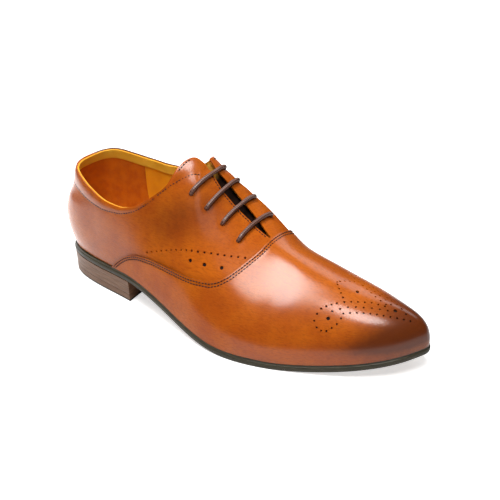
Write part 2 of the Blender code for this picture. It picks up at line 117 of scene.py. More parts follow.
def curve_through(table: Table, x: Array, column: int = 1) -> Array:
    """Reads a smooth curve without overshoot from a table.

    Args:
        table: rows whose first value is the place and the others are heights.
        x: places to read.
        column: which height to read.

    Returns:
        The heights at those places.
    """
    xs = np.array([row[0] for row in table], float)
    ys = np.array([row[column] for row in table], float)
    step = np.diff(xs)
    rise = np.diff(ys) / step
    slopes = np.zeros(len(xs))
    for k in range(1, len(xs) - 1):
        if rise[k - 1] * rise[k] > 0:
            slopes[k] = 2 * rise[k - 1] * rise[k] / (rise[k - 1] + rise[k])
    slopes[0], slopes[-1] = rise[0], rise[-1]
    x = np.clip(np.asarray(x, float), xs[0], xs[-1])
    k = np.clip(np.searchsorted(xs, x) - 1, 0, len(xs) - 2)
    t = (x - xs[k]) / step[k]
    return cubic(ys[k], ys[k + 1], slopes[k] * step[k], slopes[k + 1] * step[k], t)


def straight(table: Table, x: Array) -> Array:
    """Reads a table with straight lines between its rows."""
    return np.interp(x, [row[0] for row in table], [row[1] for row in table])


def smooth_step(low: float, high: float, value: Array) -> Array:
    """Soft ramp from 0 at low to 1 at high."""
    t = np.clip((np.asarray(value, float) - low) / (high - low), 0, 1)
    return t * t * (3 - 2 * t)


def spot(x: Array, z: Array, centre: Sequence[float], size: Sequence[float]) -> Array:
    """Soft round spot, 1 at its centre, with a width and a height."""
    return np.exp(-((x - centre[0]) / size[0]) ** 2 - ((z - centre[1]) / size[1]) ** 2)


def signed_distance(path: Array, x: Array, z: Array) -> Array:
    """Distance from a side-view path, positive on the left of its direction.

    Args:
        path: points (x, z) in order.
        x: places to measure.
        z: heights to measure.

    Returns:
        Signed distances in millimetres.
    """
    best = np.full(np.shape(x), 1e9)
    sign = np.ones(np.shape(x))
    for a, b in zip(path[:-1], path[1:]):
        d = b - a
        t = np.clip(((x - a[0]) * d[0] + (z - a[1]) * d[1]) / (d @ d), 0, 1)
        gap = np.hypot(x - a[0] - t * d[0], z - a[1] - t * d[1])
        turn = d[0] * (z - a[1]) - d[1] * (x - a[0])
        near = gap < best
        best = np.where(near, gap, best)
        sign = np.where(near, np.where(turn >= 0, 1.0, -1.0), sign)
    return best * sign


@dataclass
class Last:
    """The shoemaker's last: its sections and the surface that runs through them."""

    heel_top: float = 23.5
    sole_thick: float = 5.5
    toe_spring: float = 14.0
    shank_start: float = 72.0
    shank_end: float = 186.0
    spring_start: float = 216.0
    toe_x: float = 308.0
    sole_margin: float = 2.0
    fit_gap: float = 0.3
    throat_x: float = 183.4
    tab_round: float = 4.5
    columns: tuple[str, ...] = ("x", "lat_y", "med_y", "top_x", "top_lat_y", "top_med_y", "top_z", "lat_lean",
                                "med_lean", "lat_turn", "med_turn", "base_pull", "lat_pull", "med_pull", "slope")
    sections: Table = (
        (0.0, 0.0, 0.0, 24.0, 0.0, 0.0, 138.0, 16, 16, 10, 10, 0.85, 0.80, 0.80, 0.00),
        (7.0, -16.0, 16.5, 27.0, -12.0, 13.0, 138.0, 16, 16, 10, 10, 0.85, 0.80, 0.80, 0.00),
        (26.0, -25.5, 26.5, 38.0, -19.5, 22.0, 138.0, 14, 14, 7, 7, 0.85, 0.80, 0.80, 0.00),
        (50.0, -30.5, 30.5, 54.0, -23.0, 25.5, 138.5, 10, 11, 4, 4, 0.80, 0.80, 0.80, 0.00),
        (76.0, -34.5, 31.0, 72.0, -21.0, 27.0, 138.0, 6, 11, 4, 4, 0.75, 0.80, 0.80, 0.00),
        (100.0, -39.8, 28.5, 90.0, -14.0, 25.0, 137.0, 3, 14, 8, 8, 0.70, 0.80, 0.80, -0.30),
        (124.0, -46.0, 28.0, 103.0, -2.0, 18.5, 135.0, 2, 17, 28, 32, 0.70, 0.80, 0.80, -0.70),
        (146.0, -52.0, 31.5, 112.0, 9.8, 9.8, 126.7, 3, 19, 62, 107, 0.72, 0.95, 1.00, -1.00),
        (166.0, -56.0, 38.0, 138.0, 9.4, 9.4, 99.6, 5, 17, 70, 110, 0.80, 0.95, 1.60, -0.92),
        (187.0, -56.8, 45.5, 165.0, 8.2, 8.2, 78.5, 7, 12, 80, 107, 0.90, 0.95, 1.32, -0.66),
        (209.0, -53.2, 50.0, 192.0, 2.8, 2.8, 65.0, 7, 9, 90, 95, 0.95, 0.85, 1.20, -0.52),
        (232.0, -45.6, 49.5, 215.0, 0.2, 0.2, 59.3, 5, 7, 90, 92, 1.00, 0.95, 1.18, -0.32),
        (255.0, -36.0, 44.5, 234.0, 0.4, 0.4, 54.6, 4, 6, 90, 90, 1.00, 1.15, 1.30, -0.26),
        (276.0, -25.2, 36.5, 248.0, 1.2, 1.2, 51.2, 3, 5, 90, 90, 1.05, 1.35, 1.45, -0.24),
        (294.0, -11.5, 26.5, 257.0, 2.0, 2.0, 49.1, 3, 4, 90, 90, 1.15, 1.50, 1.55, -0.24),
        (304.5, 2.0, 18.0, 261.0, 2.4, 2.4, 48.2, 3, 3, 90, 90, 1.20, 1.60, 1.60, -0.24),
        (308.0, 10.0, 10.0, 262.0, 2.6, 2.6, 48.0, 3, 3, 90, 90, 1.20, 1.60, 1.60, -0.24),
    )
    collar: Table = (
        (-10.0, 94.4, 94.4), (11.4, 94.2, 94.2), (13.3, 93.8, 95.0), (17.0, 92.7, 96.2), (24.0, 90.5, 97.0),
        (40.0, 84.0, 94.5), (57.0, 78.0, 92.5), (70.0, 77.0, 91.5), (84.0, 80.6, 92.5), (94.0, 86.9, 94.8),
        (104.0, 95.0, 98.0), (108.5, 100.2, 100.5), (110.5, 105.6, 101.8), (112.0, 110.9, 102.8),
        (114.0, 115.2, 104.3), (118.0, 118.6, 107.4), (124.0, 121.0, 113.4), (150.0, 127.0, 124.0),
    )
    vamp_seam: Table = (
        (56.0, 19.0), (66.5, 30.8), (80.9, 41.2), (91.5, 44.7), (109.4, 46.1), (137.2, 46.2), (151.7, 46.4),
        (162.9, 46.9), (171.4, 50.9), (178.0, 57.0), (181.4, 61.0), (183.9, 64.2), (184.7, 66.6), (185.1, 72.0),
    )
    facing_gap: Table = ((110.0, 5.2), (117.0, 4.7), (120.0, 3.7), (125.0, 2.4), (131.0, 2.1), (143.0, 3.8),
                         (158.0, 3.6), (172.0, 2.7), (183.4, 0.6))
    crown_y: Table = ((112.0, 9.8), (138.0, 9.4), (165.0, 8.2), (192.0, 2.8), (215.0, 0.2), (262.0, 2.6))
    eyelets: Table = ((126.6, -12.9, 134.0, 18.6), (139.1, -11.8, 143.8, 21.6), (152.4, -11.0, 156.8, 24.0),
                      (167.3, -12.6, 171.0, 24.4))
    ring: dict[str, Array] = field(default_factory=dict)

    def around(self, outer: str, inner: str) -> Array:
        """Table values round the ring: heel, outer side, toe, inner side."""
        key = outer + inner
        if key not in self.ring:
            lat = [row[self.columns.index(outer)] for row in self.sections]
            med = [row[self.columns.index(inner)] for row in self.sections]
            self.ring[key] = np.array(lat + med[-2:0:-1], float)
        return self.ring[key]

    @staticmethod
    def between(values: Array, slopes: Array, row: Array) -> Array:
        """Cubic between neighbouring rows of the ring."""
        count = len(values)
        row = np.asarray(row, float) % count
        low = np.floor(row).astype(int) % count
        high = (low + 1) % count
        t = row - np.floor(row)
        return cubic(values[low], values[high], slopes[low], slopes[high], t)

    def fair(self, outer: str, inner: str, row: Array) -> Array:
        """Closed cubic spline of two table columns round the ring."""
        values = self.around(outer, inner)
        count = len(values)
        system = np.zeros((count, count))
        for k in range(count):
            system[k, k - 1] += 1
            system[k, k] += 4
            system[k, (k + 1) % count] += 1
        right = 3 * (np.roll(values, -1) - np.roll(values, 1))
        return self.between(values, np.linalg.solve(system, right), row)

    def calm(self, outer: str, inner: str, row: Array) -> Array:
        """Ring curve without overshoot, averaged over a short span."""
        values = self.around(outer, inner)
        ahead = np.roll(values, -1) - values
        behind = np.roll(ahead, 1)
        total = np.where(np.abs(ahead + behind) < 1e-9, 1.0, ahead + behind)
        slopes = np.where(ahead * behind > 0, 2 * ahead * behind / total, 0.0)
        span = np.linspace(-0.45, 0.45, 9)
        weight = np.cos(span / 0.45 * np.pi / 2) ** 2
        weight = weight / weight.sum()
        return sum(w * self.between(values, slopes, np.asarray(row) + s) for w, s in zip(weight, span))

    def sole_top(self, x: Array) -> Array:
        """Height of the top of the outsole along the foot."""
        x = np.asarray(x, float)
        drop = np.clip((self.shank_end - x) / (self.shank_end - self.shank_start), 0, 1)
        lift = np.clip((x - self.spring_start) / (self.toe_x - self.spring_start), 0, 1.3)
        rise = (self.heel_top - self.sole_thick) * drop * drop * (3 - 2 * drop)
        return self.sole_thick + rise + self.toe_spring * lift ** 1.7

    def edge(self, row: Array) -> Array:
        """Sole outline in plan."""
        return np.stack([self.fair("x", "x", row), self.fair("lat_y", "med_y", row)], -1)

    def within(self, row: Array, inset: float) -> Array:
        """Sole outline in plan, moved inwards by an inset."""
        return self.edge(row) - inset * self.outward(row)

    def outward(self, row: Array) -> Array:
        """Plan direction square to the sole outline."""
        step = self.edge(np.asarray(row) + 0.001) - self.edge(np.asarray(row) - 0.001)
        side = np.stack([step[..., 1], -step[..., 0]], -1)
        return unit(side)

    def points(self, row: Array, t: Array) -> Array:
        """Outer face of the upper.

        Args:
            row: ring places, one per section.
            t: for each section, places from the sole edge (0) to the crown line (1).

        Returns:
            Points in millimetres, sections by places by three.
        """
        row = np.asarray(row, float)
        side = self.outward(row)
        plan = self.edge(row) - self.sole_margin * side
        base = np.concatenate([plan, (self.sole_top(plan[:, 0]) + self.fit_gap)[:, None]], 1)
        crown = np.stack([self.calm("top_x", "top_x", row), self.calm("top_lat_y", "top_med_y", row),
                          self.calm("top_z", "top_z", row)], -1)
        lean = np.radians(self.fair("lat_lean", "med_lean", row))
        turn = np.radians(self.calm("lat_turn", "med_turn", row))
        slope = self.calm("slope", "slope", row)
        inward = unit((crown - base)[:, :2])
        start = np.stack([side[:, 0] * np.sin(lean), side[:, 1] * np.sin(lean), np.cos(lean)], 1)
        finish = unit(np.stack([inward[:, 0] * np.sin(turn), inward[:, 1] * np.sin(turn),
                                slope * inward[:, 0] * np.sin(turn) + np.cos(turn)], 1))
        chord = np.linalg.norm(crown - base, axis=1)
        start = (start * (chord * self.fair("base_pull", "base_pull", row))[:, None])[:, None]
        finish = (finish * (chord * self.fair("lat_pull", "med_pull", row))[:, None])[:, None]
        t = np.asarray(t, float)[..., None]
        return cubic(base[:, None], crown[:, None], start, finish, t)

    def normals(self, row: Array, t: Array) -> Array:
        """Outward directions of the last at the same places."""
        t = np.minimum(t, 0.975)
        ahead = self.points(np.asarray(row) + 0.01, t) - self.points(np.asarray(row) - 0.01, t)
        up = self.points(row, np.clip(t + 0.004, 0, 1)) - self.points(row, np.clip(t - 0.004, 0, 1))
        return unit(np.cross(ahead, up))

    def crossing(self, row: Array, beyond: Test) -> Array:
        """Lowest place on each section at which a test turns positive.

        Args:
            row: ring places, one per section.
            beyond: test of points and of a mask that is true on the outer side.

        Returns:
            Places t, and 1 where the test never turns positive.
        """
        t = np.linspace(0, 1, 241)
        points = self.points(row, np.repeat(t[None], len(row), 0))
        outer = ((np.asarray(row) % Row.RING.value) <= Row.TIP.value)[:, None]
        value = beyond(points, np.broadcast_to(outer, points.shape[:2]))
        hit = value > 0
        first = np.clip(hit.argmax(1), 1, None)
        k = np.arange(len(row))
        low, high = value[k, first - 1], value[k, first]
        span = np.where(np.abs(high - low) < 1e-9, 1.0, high - low)
        part = np.clip(-low / span, 0, 1)
        return np.where(hit.any(1), t[first - 1] + (t[1] - t[0]) * part, 1.0)

    def collar_height(self, x: Array, outer: Array) -> Array:
        """Height of the collar line on either side."""
        return np.where(outer, curve_through(self.collar, x, 1), curve_through(self.collar, x, 2))

    def past_opening(self, points: Array, outer: Array) -> Array:
        """Positive inside the collar mouth and the slit between the facings."""
        x, y, z = points[..., 0], points[..., 1], points[..., 2]
        above = z - self.collar_height(x, outer)
        centre = straight(self.crown_y, x)
        reach = straight(self.facing_gap, x) - np.where(outer, centre - y, y - centre)
        slit = np.where((x > 90) & (x < self.throat_x) & (z > 60), reach, -90.0)
        round_off = np.where(outer, self.tab_round, 0.4)
        return 0.5 * (above + slit + np.sqrt((above - slit) ** 2 + round_off ** 2))

    def seam_path(self) -> Array:
        """Side-view path of the vamp's rear seam, heel end first."""
        xs = np.concatenate([np.linspace(50, 172, 26), np.linspace(174, 185.1, 14)])
        path = np.stack([xs, curve_through(self.vamp_seam, xs)], 1)
        return np.concatenate([path, [(185.1, 160.0)]])

    def past_seam(self, margin: float) -> Test:
        """Test for crossing a line on the vamp side of the seam, a margin away from it."""
        path = self.seam_path()
        return lambda points, outer: signed_distance(path, points[..., 0], points[..., 2]) + margin

    def tops(self, rows: Array) -> Array:
        """Upper end of each section: the collar, the facing edge or the crown."""
        top = self.crossing(rows, self.past_opening)
        folded = np.minimum(rows, Row.RING.value - rows)
        top[folded >= Row.THROAT.value - 1e-6] = 1.0
        return top


def ring_rows(*spans: tuple[float, float, int]) -> Array:
    """Ring places of one side, mirrored on the other side.

    Args:
        spans: from row, to row and number of steps.

    Returns:
        Places from the first row round the toe to the same row of the inner side.
    """
    rows = np.concatenate([np.linspace(a, b, n, endpoint=False) for a, b, n in spans] + [[Row.TIP.value]])
    return np.concatenate([rows, (Row.RING.value - rows[::-1])[1:]])


@dataclass
class Skin:
    """A band of the last's surface that a leather piece follows."""

    last: Last
    rows: Array
    low: Array
    high: Array
    lines: int

    def places(self) -> Array:
        """Places t of every point of the band."""
        part = np.linspace(0, 1, self.lines)[None]
        return self.low[:, None] + (self.high - self.low)[:, None] * part

    def grid(self, lift: Field | float) -> Array:
        """Points of the band, lifted off the last.

        Args:
            lift: height over the last, or a function of the points that gives it.

        Returns:
            Points in millimetres, sections by lines by three.
        """
        t = self.places()
        points = self.last.points(self.rows, t)
        normal = self.last.normals(self.rows, t)
        shared = (self.high > 0.9999) & (np.minimum(self.rows, Row.RING.value - self.rows) > 9.0)
        normal[shared, -1] = unit(normal[:, -1] + normal[::-1, -1])[shared]
        if self.rows[0] == 0.0:
            normal[[0, -1]] = unit(normal[0] + normal[-1])
        height = lift(points) if callable(lift) else np.full(points.shape[:2], float(lift))
        return points + normal * height[..., None]


def upward(points: Array) -> Array:
    """Straight up, at every point."""
    return np.tile((0.0, 0.0, 1.0), (len(points), 1))


class Bench:
    """Modelling steps shared by every piece."""

    @staticmethod
    def pick(piece: Piece) -> None:
        """Selects one piece alone and makes it active."""
        bpy.ops.object.select_all(action="DESELECT")
        piece.select_set(True)
        bpy.context.view_layer.objects.active = piece

    @staticmethod
    def corners(piece: Piece) -> Array:
        """Points of a piece in the shared frame."""
        flat = np.empty(len(piece.data.vertices) * 3, np.float32)
        piece.data.vertices.foreach_get("co", flat)
        return flat.reshape(-1, 3)

    @staticmethod
    def sheet(name: str, grid: Array) -> Piece:
        """Grid primitive whose points are laid on a surface.

        Args:
            name: piece name.
            grid: points in millimetres, columns by lines by three.

        Returns:
            The new piece.
        """
        columns, lines = grid.shape[:2]
        bpy.ops.object.select_all(action="DESELECT")
        bpy.ops.mesh.primitive_grid_add(x_subdivisions=columns - 1, y_subdivisions=lines - 1, size=1.0)
        piece = bpy.context.object
        piece.name = name
        piece.data.name = name
        flat = Bench.corners(piece)
        c = np.rint((flat[:, 0] + 0.5) * (columns - 1)).astype(int)
        n = np.rint((flat[:, 1] + 0.5) * (lines - 1)).astype(int)
        piece.data.vertices.foreach_set("co", to_frame(grid[c, n]).astype(np.float32).reshape(-1))
        piece.data.update()
        return piece

    @staticmethod
    def weld(piece: Piece, caps: bool = False, outward: bool = True) -> Piece:
        """Joins points that meet, closes open ends if asked and turns faces outwards.

        Args:
            piece: the piece to weld.
            caps: whether open ends are filled.
            outward: whether the normals are found again.

        Returns:
            The same piece.
        """
        Bench.pick(piece)
        bpy.ops.object.mode_set(mode="EDIT")
        bpy.ops.mesh.select_all(action="SELECT")
        bpy.ops.mesh.remove_doubles(threshold=0.00002)
        bpy.ops.mesh.dissolve_degenerate(threshold=0.000005)
        if caps:
            bpy.ops.mesh.select_all(action="SELECT")
            bpy.ops.mesh.fill_holes(sides=0)
        bpy.ops.mesh.select_all(action="SELECT")
        if outward:
            bpy.ops.mesh.normals_make_consistent(inside=False)
        bpy.ops.object.mode_set(mode="OBJECT")
        return piece

    @staticmethod
    def face_out(piece: Piece, direction: Field) -> None:
        """Flips a sheet if most of its faces look against a direction.

        Args:
            piece: the sheet.
            direction: wanted directions at face centres in millimetres.
        """
        count = len(piece.data.polygons)
        centre = np.array([p.center for p in piece.data.polygons]).reshape(count, 3)
        normal = np.array([p.normal for p in piece.data.polygons]).reshape(count, 3)
        if np.mean(np.sum(normal * direction(to_last(centre)), 1)) < 0:
            Bench.pick(piece)
            bpy.ops.object.mode_set(mode="EDIT")
            bpy.ops.mesh.select_all(action="SELECT")
            bpy.ops.mesh.flip_normals()
            bpy.ops.object.mode_set(mode="OBJECT")

    @staticmethod
    def apply(piece: Piece, kind: str, **settings: object) -> None:
        """Adds a modifier with its settings and applies it."""
        Bench.pick(piece)
        step = piece.modifiers.new(kind.lower(), kind)
        for key, value in settings.items():
            setattr(step, key, value)
        bpy.ops.object.modifier_apply(modifier=step.name)

    @staticmethod
    def hide(name: str, grid: Array, toward: Field, *finishes: "Finish") -> Piece:
        """Dressed sheet of leather on a surface, facing a direction, still without thickness."""
        piece = Bench.weld(Bench.sheet(name, grid), outward=False)
        Bench.face_out(piece, toward)
        Finishes.dress(piece, *finishes)
        return piece

    @staticmethod
    def thicken(piece: Piece, thickness: float, edge: float = 0.0, segments: int = 2,
                inner_slot: int = 0, rim_slot: int = 0) -> None:
        """Gives a sheet its thickness inwards and eases its edges.

        Args:
            piece: the sheet.
            thickness: millimetres of leather.
            edge: width of the eased edges in millimetres, 0 for none.
            segments: steps across an eased edge.
            inner_slot: how many finishes further the inner face is.
            rim_slot: the same for the cut edge.
        """
        Bench.apply(piece, "SOLIDIFY", thickness=thickness * MM, offset=-1.0, use_rim=True,
                    material_offset=inner_slot, material_offset_rim=rim_slot)
        if edge:
            Bench.apply(piece, "BEVEL", width=edge * MM, segments=segments, limit_method="ANGLE",
                        angle_limit=math.radians(50.0), use_clamp_overlap=True, harden_normals=False)

    @staticmethod
    def smooth(piece: Piece, angle: float = 40.0) -> None:
        """Shades a piece smooth up to an angle between faces."""
        Bench.pick(piece)
        bpy.ops.object.shade_smooth_by_angle(angle=math.radians(angle))

    @staticmethod
    def take() -> tuple[Array, list[tuple[int, ...]]]:
        """Points and faces of the primitive just added, which is removed."""
        model = bpy.context.object
        shape = np.array([v.co for v in model.data.vertices])
        faces = [tuple(p.vertices) for p in model.data.polygons]
        bpy.data.objects.remove(model, do_unlink=True)
        return shape, faces

    @staticmethod
    def copies(name: str, points: Array, faces: Sequence[tuple[int, ...]]) -> Piece:
        """Many copies of one shape as one piece.

        Args:
            name: piece name.
            points: copies by corners by three, in millimetres.
            faces: corners of each face of the shape.

        Returns:
            The new piece.
        """
        count = points.shape[1]
        every = [tuple(v + k * count for v in face) for k in range(len(points)) for face in faces]
        mesh = bpy.data.meshes.new(name)
        mesh.from_pydata([tuple(p) for p in to_frame(points.reshape(-1, 3))], [], every)
        piece = bpy.data.objects.new(name, mesh)
        bpy.context.scene.collection.objects.link(piece)
        return piece

    @staticmethod
    def paint(piece: Piece, name: str, shade: Field) -> None:
        """Stores a value on every point of a piece, from its place on the last."""
        layer = piece.data.attributes.new(name, "FLOAT", "POINT")
        layer.data.foreach_set("value", shade(to_last(Bench.corners(piece))).astype(np.float32))

    @staticmethod
    def settle(piece: Piece, slot: str, *nodes: str) -> Piece:
        """Puts a finished piece on the shoe's body, in place of solids of the frame."""
        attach(piece, BODY)
        if nodes:
            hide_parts(*nodes)
        LOG.info("%s: %d faces", piece.name, len(piece.data.polygons))
        return piece


class Nodes:
    """Adds and wires shader nodes in one tree."""

    def __init__(self, tree: bpy.types.NodeTree) -> None:
        """Keeps the tree that the nodes go into."""
        self.tree = tree

    def add(self, kind: str, inputs: Optional[dict] = None, **settings: object) -> bpy.types.Node:
        """Adds a node.

        Args:
            kind: node type name.
            inputs: socket values or sockets to wire, by socket name or number.
            settings: node properties.

        Returns:
            The new node.
        """
        node = self.tree.nodes.new(kind)
        for key, value in settings.items():
            setattr(node, key, value)
        return self.feed(node, inputs or {})

    def feed(self, node: bpy.types.Node, inputs: dict) -> bpy.types.Node:
        """Sets or wires sockets of a node, by socket name or number; a colour may have three values."""
        for key, value in inputs.items():
            if isinstance(value, Socket):
                self.tree.links.new(value, node.inputs[key])
            elif node.inputs[key].type == "RGBA" and len(value) == 3:
                node.inputs[key].default_value = (*value, 1.0)
            else:
                node.inputs[key].default_value = value
        return node

    def math(self, operation: str, *values: object) -> Socket:
        """One arithmetic step; values are numbers or sockets."""
        return self.add("ShaderNodeMath", dict(enumerate(values)), operation=operation).outputs[0]

    def ramp(self, value: Socket, low: float, high: float, start: float = 0.0, end: float = 1.0) -> Socket:
        """Soft ramp of a value between two limits."""
        inputs = {"Value": value, "From Min": low, "From Max": high, "To Min": start, "To Max": end}
        return self.add("ShaderNodeMapRange", inputs, interpolation_type="SMOOTHSTEP").outputs["Result"]

    def noise(self, vector: Socket, scale: float, detail: float = 3.0, roughness: float = 0.5) -> Socket:
        """Cloudy pattern of a size."""
        inputs = {"Vector": vector, "Scale": scale, "Detail": detail, "Roughness": roughness}
        return self.add("ShaderNodeTexNoise", inputs).outputs["Fac"]

    def blend(self, factor: object, first: object, second: object) -> Socket:
        """Mixes two colours."""
        return self.add("ShaderNodeMix", {0: factor, 6: first, 7: second}, data_type="RGBA").outputs[2]

    def scaled(self, vector: Socket, scale: Colour) -> Socket:
        """Coordinates stretched along the axes."""
        return self.add("ShaderNodeMapping", {"Vector": vector, "Scale": scale}).outputs[0]

    def grey(self, value: Socket) -> Socket:
        """Grey of a brightness."""
        return self.add("ShaderNodeCombineColor", {0: value, 1: value, 2: value}).outputs[0]

    def bump(self, height: Socket, strength: float, distance: float) -> Socket:
        """Normal of a fine relief."""
        inputs = {"Strength": strength, "Distance": distance, "Height": height}
        return self.add("ShaderNodeBump", inputs).outputs["Normal"]

    def attribute(self, name: str) -> Socket:
        """Value painted on the piece under a name."""
        return self.add("ShaderNodeAttribute", attribute_name=name).outputs["Fac"]


def shader_group(name: str, inputs: Sequence[tuple[str, str]], outputs: Sequence[tuple[str, str]]
                 ) -> tuple[bpy.types.NodeTree, Nodes, bpy.types.Node, bpy.types.Node]:
    """Empty shader group with its sockets.

    Args:
        name: group name.
        inputs: socket kinds and names.
        outputs: socket kinds and names.

    Returns:
        The group, its node helper, its input node and its output node.
    """
    tree = bpy.data.node_groups.new(name, "ShaderNodeTree")
    for kind, label in inputs:
        tree.interface.new_socket(label, in_out="INPUT", socket_type=kind)
    for kind, label in outputs:
        tree.interface.new_socket(label, in_out="OUTPUT", socket_type=kind)
    nodes = Nodes(tree)
    return tree, nodes, nodes.add("NodeGroupInput"), nodes.add("NodeGroupOutput")


@cache
def grain_group() -> bpy.types.NodeTree:
    """Pore and fibre relief of calf leather, built once."""
    sockets = [("NodeSocketVector", "Place"), ("NodeSocketFloat", "Pore"), ("NodeSocketFloat", "Fibre")]
    tree, n, head, tail = shader_group("calf_grain", sockets,
                                       [("NodeSocketFloat", "Height"), ("NodeSocketFloat", "Shine")])
    place = head.outputs["Place"]
    pores = n.add("ShaderNodeTexVoronoi", {"Vector": place, "Scale": 1400.0}, feature="DISTANCE_TO_EDGE")
    pits = n.ramp(pores.outputs["Distance"], 0.0, 0.25)
    fibre = n.noise(n.scaled(place, (0.35, 1.0, 1.6)), 420.0, 5.0, 0.62)
    swell = n.noise(place, 60.0, 2.0)
    height = n.math("MULTIPLY", pits, head.outputs["Pore"])
    height = n.math("ADD", height, n.math("MULTIPLY", fibre, head.outputs["Fibre"]))
    height = n.math("ADD", height, n.math("MULTIPLY", swell, 1.6))
    n.feed(tail, {"Height": height, "Shine": n.ramp(n.noise(place, 160.0, 4.0, 0.6), 0.3, 0.72)})
    return tree


@cache
def patina_group() -> bpy.types.NodeTree:
    """Hand-burnished colour: tan clouded with mid brown, darkened where the burnish_and_shade mask says, which holds
    real burnish and also painted shade.
    """
    sockets = [("NodeSocketVector", "Place"), ("NodeSocketColor", "Tan"), ("NodeSocketColor", "Mid"),
               ("NodeSocketColor", "Dark"), ("NodeSocketFloat", "Burnish_and_shade")]
    tree, n, head, tail = shader_group("patina", sockets, [("NodeSocketColor", "Colour")])
    place, tan, mid, dark, burnish_and_shade = (head.outputs[name] for _, name in sockets)
    cloud = n.ramp(n.noise(place, 26.0, 4.0, 0.6), 0.36, 0.68)
    fine = n.noise(place, 190.0, 5.0, 0.66)
    drawn = n.scaled(place, (0.3, 1.0, 1.5))
    body = n.blend(n.math("MULTIPLY", cloud, 0.75), tan, mid)
    body = n.blend(n.ramp(n.noise(drawn, 260.0, 4.0, 0.65), 0.5, 0.74, 0.0, 0.38), body, mid)
    body = n.blend(n.ramp(n.noise(drawn, 900.0, 3.0, 0.6), 0.42, 0.74, 0.0, 0.34), body, dark)
    mask = n.math("ADD", burnish_and_shade, n.math("MULTIPLY", n.math("SUBTRACT", fine, 0.5), 0.34))
    mask = n.math("MULTIPLY", n.ramp(mask, 0.02, 0.95), n.ramp(burnish_and_shade, 0.0, 0.22))
    n.feed(tail, {"Colour": n.blend(mask, body, dark)})
    return tree


@dataclass(frozen=True)
class BurnishedCalf:
    """Glossy hand-burnished calf leather."""

    name: str
    tan: Colour = (0.50, 0.110, 0.005)
    mid: Colour = (0.35, 0.058, 0.003)
    dark: Colour = (0.125, 0.025, 0.004)
    roughness: float = 0.40
    matte: float = 0.62
    specular: float = 0.05
    coat: float = 0.85
    coat_roughness: float = 0.21
    coat_ior: float = 1.55
    pore: float = 0.35
    fibre: float = 0.9
    relief: float = 0.00024

    def make(self) -> bpy.types.Material:
        """Builds the material; burnish_and_shade, burnish with painted shade, and polish are the piece's own
        attributes.
        """
        material, n, shader, place = start_material(self.name)
        polish = n.attribute("polish")
        patina = n.add("ShaderNodeGroup", node_tree=patina_group())
        n.feed(patina, {"Place": place, "Tan": self.tan, "Mid": self.mid, "Dark": self.dark,
                        "Burnish_and_shade": n.attribute("burnish_and_shade")})
        grain = n.add("ShaderNodeGroup", node_tree=grain_group())
        n.feed(grain, {"Place": place, "Pore": self.pore, "Fibre": self.fibre})
        rough = n.math("ADD", n.ramp(polish, 0.0, 1.0, self.matte, self.roughness),
                       n.ramp(grain.outputs["Shine"], 0.0, 1.0, -0.05, 0.08))
        n.feed(shader, {
            "Base Color": patina.outputs["Colour"], "Roughness": rough, "Specular IOR Level": self.specular,
            "Coat Weight": n.math("MULTIPLY", polish, self.coat), "Coat Roughness": self.coat_roughness,
            "Coat IOR": self.coat_ior, "IOR": 1.45,
            "Normal": n.bump(grain.outputs["Height"], 0.75, self.relief),
        })
        return material


@dataclass(frozen=True)
class PlainHide:
    """Unglazed leather, board or rubber with a soft two-tone cloud and a fine relief."""

    name: str
    light: Colour
    shade: Colour
    roughness: float = 0.6
    cloud: float = 60.0
    pore: float = 0.6
    fibre: float = 0.5
    relief: float = 0.00025
    specular: float = 0.25

    def make(self) -> bpy.types.Material:
        """Builds the material."""
        material, n, shader, place = start_material(self.name)
        cloud = n.ramp(n.noise(place, self.cloud, 5.0, 0.6), 0.3, 0.7)
        grain = n.add("ShaderNodeGroup", node_tree=grain_group())
        n.feed(grain, {"Place": place, "Pore": self.pore, "Fibre": self.fibre})
        n.feed(shader, {
            "Base Color": n.blend(cloud, (*self.light, 1.0), (*self.shade, 1.0)),
            "Roughness": n.ramp(grain.outputs["Shine"], 0.0, 1.0, self.roughness - 0.08, self.roughness + 0.1),
            "Normal": n.bump(grain.outputs["Height"], 0.6, self.relief), "Specular IOR Level": self.specular,
        })
        return material


@dataclass(frozen=True)
class WaxedCord:
    """Round braided lace, waxed; the braid follows the cord's own map."""

    name: str
    light: Colour = (0.185, 0.082, 0.056)
    shade: Colour = (0.070, 0.027, 0.018)
    plaits: float = 150.0
    roughness: float = 0.36
    coat: float = 0.5

    def make(self) -> bpy.types.Material:
        """Builds the material."""
        material, n, shader, _ = start_material(self.name)
        parts = n.add("ShaderNodeSeparateXYZ", {0: n.add("ShaderNodeTexCoord").outputs["UV"]})
        along = n.math("MULTIPLY", parts.outputs[0], self.plaits * math.pi)
        round_about = n.math("MULTIPLY", parts.outputs[1], 6 * math.pi)
        left = n.math("SINE", n.math("ADD", along, round_about))
        right = n.math("SINE", n.math("SUBTRACT", along, round_about))
        braid = n.ramp(n.math("MULTIPLY", left, right), -0.6, 0.6)
        n.feed(shader, {
            # The braid mixes a lit and a shaded tone of the lace: painted shade in the grooves between the plaits.
            "Base Color": n.blend(braid, (*self.shade, 1.0), (*self.light, 1.0)),
            "Roughness": n.ramp(braid, 0.0, 1.0, self.roughness + 0.15, self.roughness),
            "Normal": n.bump(braid, 0.7, 0.0003), "Coat Weight": self.coat, "Coat Roughness": 0.3,
        })
        return material


@dataclass(frozen=True)
class StackedEdge:
    """Waxed edge of sole leather, its fibres drawn out level."""

    name: str
    light: Colour
    shade: Colour
    roughness: float = 0.45
    coat: float = 0.16
    specular: float = 0.22

    def make(self) -> bpy.types.Material:
        """Builds the material."""
        material, n, shader, place = start_material(self.name)
        fibre = n.noise(n.scaled(place, (0.25, 0.25, 3.0)), 300.0, 4.0, 0.6)
        n.feed(shader, {
            "Base Color": n.blend(n.ramp(fibre, 0.3, 0.7), (*self.light, 1.0), (*self.shade, 1.0)),
            "Roughness": n.ramp(fibre, 0.2, 0.8, self.roughness - 0.06, self.roughness + 0.1),
            "Normal": n.bump(fibre, 0.4, 0.0002), "Coat Weight": self.coat, "Coat Roughness": 0.2,
            "Specular IOR Level": self.specular,
        })
        return material


